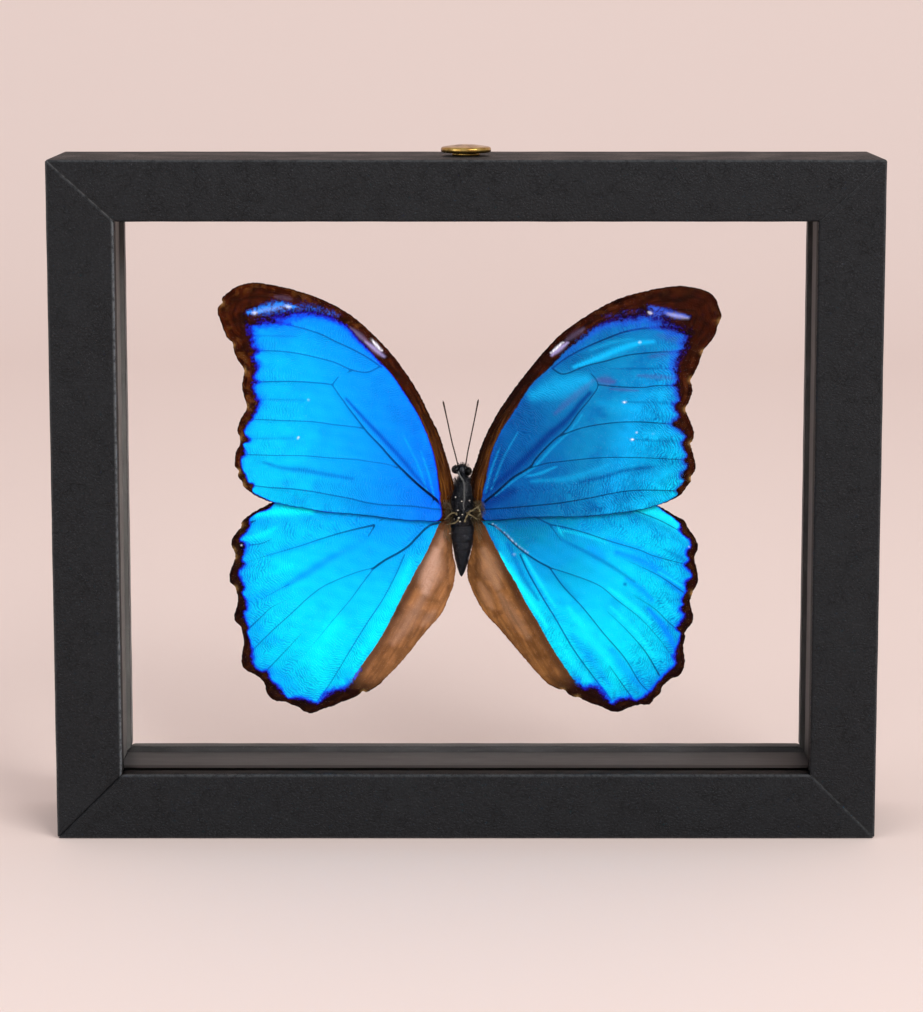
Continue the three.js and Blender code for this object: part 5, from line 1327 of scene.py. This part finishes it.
body = trunk()
fit(body, "body")
eyes = joined(
    [
        ball((-2.5, depth_to_y(22.4), 89.2), (1.15, 1.3, 1.1)),
        ball((0.45, depth_to_y(22.4), 88.75), (1.15, 1.3, 1.15)),
    ]
)
fit(add_mesh("eyes", *eyes, [eye_gloss]))

LEGS = [
    [(0.2, 18.9, 78.6), (1.4, 18.5, 79.3), (2.4, 18.7, 79.9), (3.1, 19.0, 80.3), (3.9, 19.2, 80.8)],
    [(-0.3, 18.8, 76.4), (0.1, 18.5, 77.7), (0.6, 18.5, 78.7), (1.2, 18.6, 79.6)],
    [(0.6, 18.8, 78.5), (1.2, 18.6, 78.2), (2.2, 19.0, 77.5), (2.9, 19.3, 76.9)],
    [(3.0, 19.1, 80.1), (3.5, 19.0, 79.3), (3.5, 19.1, 78.4), (3.0, 19.3, 77.8)],
    [(-2.2, 18.9, 78.4), (-3.2, 18.8, 78.8), (-4.4, 19.0, 78.0), (-5.4, 19.3, 76.9)],
    [(-1.8, 18.9, 77.0), (-2.8, 18.9, 76.2), (-3.8, 19.3, 75.9), (-4.8, 19.9, 75.6)],
]
legs = []
for line in LEGS:
    path = spline([(x, depth_to_y(d), z) for x, d, z in line], 0.15)
    share = np.linspace(0, 1, len(path))
    legs.append(tube_mesh(path, 0.24 - 0.12 * share + 0.03 * np.sin(share * 19), 10))
fit(add_mesh("legs", *joined(legs), [leg_skin]))

proboscis = [
    (-1.95, 20.9, 88.95), (-1.55, 20.7, 87.9), (-0.8, 20.6, 86.9), (-0.4, 20.0, 85.5), (-0.45, 19.2, 83.9),
    (-0.4, 18.8, 82.6), (-0.6, 18.6, 80.7), (-0.4, 18.6, 79.5),
]
path = spline([(x, depth_to_y(d), z) for x, d, z in proboscis], 0.15)
fit(add_mesh("proboscis", *tube_mesh(path, np.linspace(0.25, 0.17, len(path)), 10), [tongue]))

ANTENNAE = {
    "antenna_left": [(-1.9, 22.2, 90.0), (-2.1, 22.0, 90.8), (-2.85, 21.6, 93.85), (-3.45, 21.2, 96.2),
                     (-4.6, 20.6, 101.7), (-5.75, 20, 107.1)],
    "antenna_right": [(-0.2, 22.2, 90.0), (0.0, 22.0, 90.8), (0.5, 21.6, 93.9), (0.95, 21.2, 96.2),
                      (2.1, 20.6, 101.9), (3.15, 20, 107.5)],
}
for name, line in ANTENNAE.items():
    path = spline([(x, depth_to_y(d), z) for x, d, z in line], 0.14)
    share = np.linspace(0, 1, len(path))
    radii = 0.17 + 0.07 * np.clip((share - 0.75) * 4, 0, 1) + 0.012 * np.sin(share * 220)
    radii = radii * np.clip((1 - share) * 30, 0.2, 1)
    fit(add_mesh(name + "_shown", *tube_mesh(path, radii, 12), [antenna_skin]), name)

coat("glue_dab", glue)


def hair_group():
    """Geometry nodes that grow bent, tapered hairs on a surface."""
    tree = bpy.data.node_groups.new("Grow hairs", "GeometryNodeTree")
    made = {}
    for name, kind in (
        ("Geometry", "NodeSocketGeometry"),
        ("Density", "NodeSocketFloat"),
        ("Length", "NodeSocketFloat"),
        ("Radius", "NodeSocketFloat"),
        ("Sweep", "NodeSocketVector"),
        ("Seed", "NodeSocketInt"),
        ("Material", "NodeSocketMaterial"),
    ):
        made[name] = tree.interface.new_socket(name, in_out="INPUT", socket_type=kind).identifier
    tree.interface.new_socket("Geometry", in_out="OUTPUT", socket_type="NodeSocketGeometry")
    source = tree.nodes.new("NodeGroupInput").outputs
    points = add(
        tree,
        "GeometryNodeDistributePointsOnFaces",
        Mesh=source["Geometry"],
        Density=source["Density"],
        Seed=source["Seed"],
    )
    bezier = add(
        tree,
        "GeometryNodeCurveQuadraticBezier",
        Resolution=5,
        Start=(0, 0, 0),
        Middle=(0, 0, 0.55),
        End=(0.3, 0, 1),
    )
    taper = add(tree, "MapRange", add(tree, "GeometryNodeSplineParameter"), 0.0, 1.0, 1.0, 0.15)
    shaped = add(tree, "GeometryNodeSetCurveRadius", Curve=bezier, Radius=taper)
    ring = add(tree, "GeometryNodeCurvePrimitiveCircle", Resolution=3, Radius=source["Radius"])
    strand = add(
        tree, "GeometryNodeCurveToMesh", Curve=shaped, **{"Profile Curve": ring, "Fill Caps": True}
    )
    lean = add(
        tree,
        "FunctionNodeRandomValue",
        data_type="FLOAT_VECTOR",
        Min=(-0.45, -0.45, -0.45),
        Max=(0.45, 0.45, 0.45),
        Seed=source["Seed"],
    )
    aim = add(tree, "VectorMath", points.node.outputs["Normal"], source["Sweep"], operation="ADD")
    aim = add(tree, "VectorMath", aim, lean, operation="ADD")
    turned = add(tree, "FunctionNodeAlignRotationToVector", axis="Z", Vector=aim)
    size = add(tree, "FunctionNodeRandomValue", data_type="FLOAT", Seed=source["Seed"])
    size = add(tree, "MapRange", size, 0.0, 1.0, 0.45, 1.15)
    size = add(tree, "Math", size, source["Length"], operation="MULTIPLY")
    grown = add(
        tree, "GeometryNodeInstanceOnPoints", Points=points, Instance=strand, Rotation=turned, Scale=size
    )
    grown = add(tree, "GeometryNodeRealizeInstances", Geometry=grown)
    grown = add(tree, "GeometryNodeSetMaterial", Geometry=grown, Material=source["Material"])
    target = tree.nodes.new("NodeGroupOutput")
    tree.links.new(grown, target.inputs["Geometry"])
    return tree, made


hairs, hair_inputs = hair_group()


def grow(name, surface, density_mm2, length_mm, radius_mm, sweep, material, seed):
    """Hairs on a (verts, faces) surface, kept as a plain mesh."""
    obj = add_mesh(name, *surface, [])
    modifier = obj.modifiers.new("hairs", "NODES")
    modifier.node_group = hairs
    values = {
        "Density": density_mm2 * 1e6,
        "Length": length_mm * MM,
        "Radius": radius_mm / length_mm,
        "Sweep": sweep,
        "Seed": seed,
        "Material": material,
    }
    for key, value in values.items():
        modifier[hair_inputs[key]] = value
    obj.update_tag()
    graph = bpy.context.evaluated_depsgraph_get()
    grown = bpy.data.meshes.new_from_object(obj.evaluated_get(graph))
    obj.modifiers.remove(modifier)
    obj.data = grown
    if not grown.materials:
        grown.materials.append(material)
    return fit(obj)


def patch(x, depth, z, half_width, half_height, tilt):
    """A small tilted quad facing forward, for hairs to grow from."""
    verts = []
    for u, v in ((-1, -1), (1, -1), (1, 1), (-1, 1)):
        verts.append((x + u * half_width + v * tilt, depth_to_y(depth), z + v * half_height))
    return verts, [(0, 1, 2, 3)]


thorax = ball((-0.95, depth_to_y(BODY_DEPTH), 80.3), (3.0, 4.15, 5.4))
grow("thorax_hair", thorax, 9, 1.3, 0.035, (0, 0, -0.5), dark_hair, 3)
collar = ball((-0.6, depth_to_y(BODY_DEPTH), 85.6), (2.2, 2.7, 1.5), 12, 20)
grow("collar_hair", collar, 9, 1.0, 0.035, (0, 0, 0.4), dark_hair, 4)
crown = ball((-1.05, depth_to_y(22.8), 89.3), (1.6, 1.5, 1.15), 12, 20)
grow("crown_hair", crown, 10, 0.7, 0.03, (0, 0, 0.5), dark_hair, 5)

# Tufts beside the body: name, patch they grow from, hairs per square millimetre, length and lie.
TUFTS = [
    ("left_shoulder_hair", (-4.2, 20.6, 79.4, 0.9, 2.6, -0.5), 22, 2.3, (-0.6, -0.2, -0.8)),
    ("right_shoulder_hair", (2.4, 20.6, 79.2, 1.0, 2.6, 0.5), 22, 2.3, (0.6, -0.2, -0.8)),
    ("left_flank_hair", (-4.7, 21.4, 74.4, 0.8, 1.8, 0.2), 9, 2.4, (-0.1, -0.1, -1.6)),
    ("right_flank_hair", (2.9, 21.4, 74.4, 0.8, 1.8, -0.2), 9, 2.4, (0.1, -0.1, -1.6)),
]
for seed, (name, place, density, length, lie) in enumerate(TUFTS, start=6):
    grow(name, patch(*place), density, length, 0.03, lie, brown_hair, seed)

# Loose pale scales on the thorax: x and z.
SPECKS = [
    (-1.05, 81.7), (0.9, 81.7), (-2, 79.4), (-3.6, 78.8), (-0.9, 78.3), (-1.8, 77.4), (-2.9, 76.9),
    (-4.0, 72.8), (1.7, 74.3), (-2.6, 82.6), (0.1, 84.0), (-1.5, 76.4), (-0.2, 76.9), (-2.3, 78.2),
    (1.2, 77.2),
]
specks = []
for i, (x, z) in enumerate(SPECKS):
    across = (x - BODY_X) / 3.1
    down = (z - 80) / 6.5
    bulge = math.sqrt(max(1 - across**2 - down**2, 0.02))
    centre = (x, depth_to_y(BODY_DEPTH - 4.25 * bulge), z)
    specks.append(ball(centre, (0.16 + 0.05 * (i % 3), 0.12, 0.13 + 0.04 * (i % 2)), 6, 10))
fit(add_mesh("pale_specks", *joined(specks), [pale_scales]))

# ---- Setting -----------------------------------------------------------------------------------


# Paper, pressed matt: a pale warm ground with no shine.
paper, _, paper_surface, _ = new_material("pressed_paper")
paper_surface.inputs["Base Color"].default_value = linear("ecd9d0")
paper_surface.inputs["Roughness"].default_value = 0.9

# A pale paper sweep: flat underfoot, curving up into a wall well behind the frame.
SWEEP_REACH, SWEEP_START, SWEEP_BEND, SWEEP_TOP = 4000, 900, 700, 3000
sweep = [(-SWEEP_REACH, 0), (SWEEP_START, 0)]
for turn in np.linspace(0.05, math.pi / 2, 24):
    sweep.append((SWEEP_START + SWEEP_BEND * math.sin(turn), SWEEP_BEND - SWEEP_BEND * math.cos(turn)))
sweep.append((SWEEP_START + SWEEP_BEND, SWEEP_TOP))
sweep_verts = [(x, y, z) for y, z in sweep for x in (-SWEEP_REACH, SWEEP_REACH)]
sweep_faces = [(2 * i, 2 * i + 1, 2 * i + 3, 2 * i + 2) for i in range(len(sweep) - 1)]
floor = add_mesh("paper_sweep", sweep_verts, sweep_faces, [paper])

world = bpy.data.worlds.new("studio")
bpy.context.scene.world = world
world.use_nodes = True
background = world.node_tree.nodes["Background"]
background.inputs["Color"].default_value = linear("fbfaff")
background.inputs["Strength"].default_value = 0.8


def softbox(name, place, size, power):
    """A square white softbox, in metres and watts, turned to the middle of the frame."""
    light = bpy.data.lights.new(name, "AREA")
    light.size = size
    light.energy = power
    obj = bpy.data.objects.new(name, light)
    obj.location = place
    obj.rotation_euler = (Vector((0, 0, 0.09)) - Vector(place)).to_track_quat("-Z", "Y").to_euler()
    bpy.context.scene.collection.objects.link(obj)


softbox("key", (0.75, -1.1, 0.95), 0.9, 14)
softbox("fill", (-0.9, -0.9, 0.5), 0.8, 3)

CAMERA_AWAY, CAMERA_SIDE, CAMERA_HEIGHT, LOOK_DOWN = 700, -1.1, 211, 7.5  # millimetres and degrees
camera_data = bpy.data.cameras.new("camera")
camera_data.lens = 103.4
camera_data.shift_y = -0.14
camera = bpy.data.objects.new("camera", camera_data)
camera.location = (CAMERA_SIDE * MM, (-DEPTH / 2 - CAMERA_AWAY) * MM, CAMERA_HEIGHT * MM)
camera.rotation_euler = (math.radians(90 - LOOK_DOWN), 0, 0)
bpy.context.scene.collection.objects.link(camera)
bpy.context.scene.camera = camera

bpy.context.scene.view_settings.view_transform = "Standard"
bpy.context.scene.view_settings.look = "None"
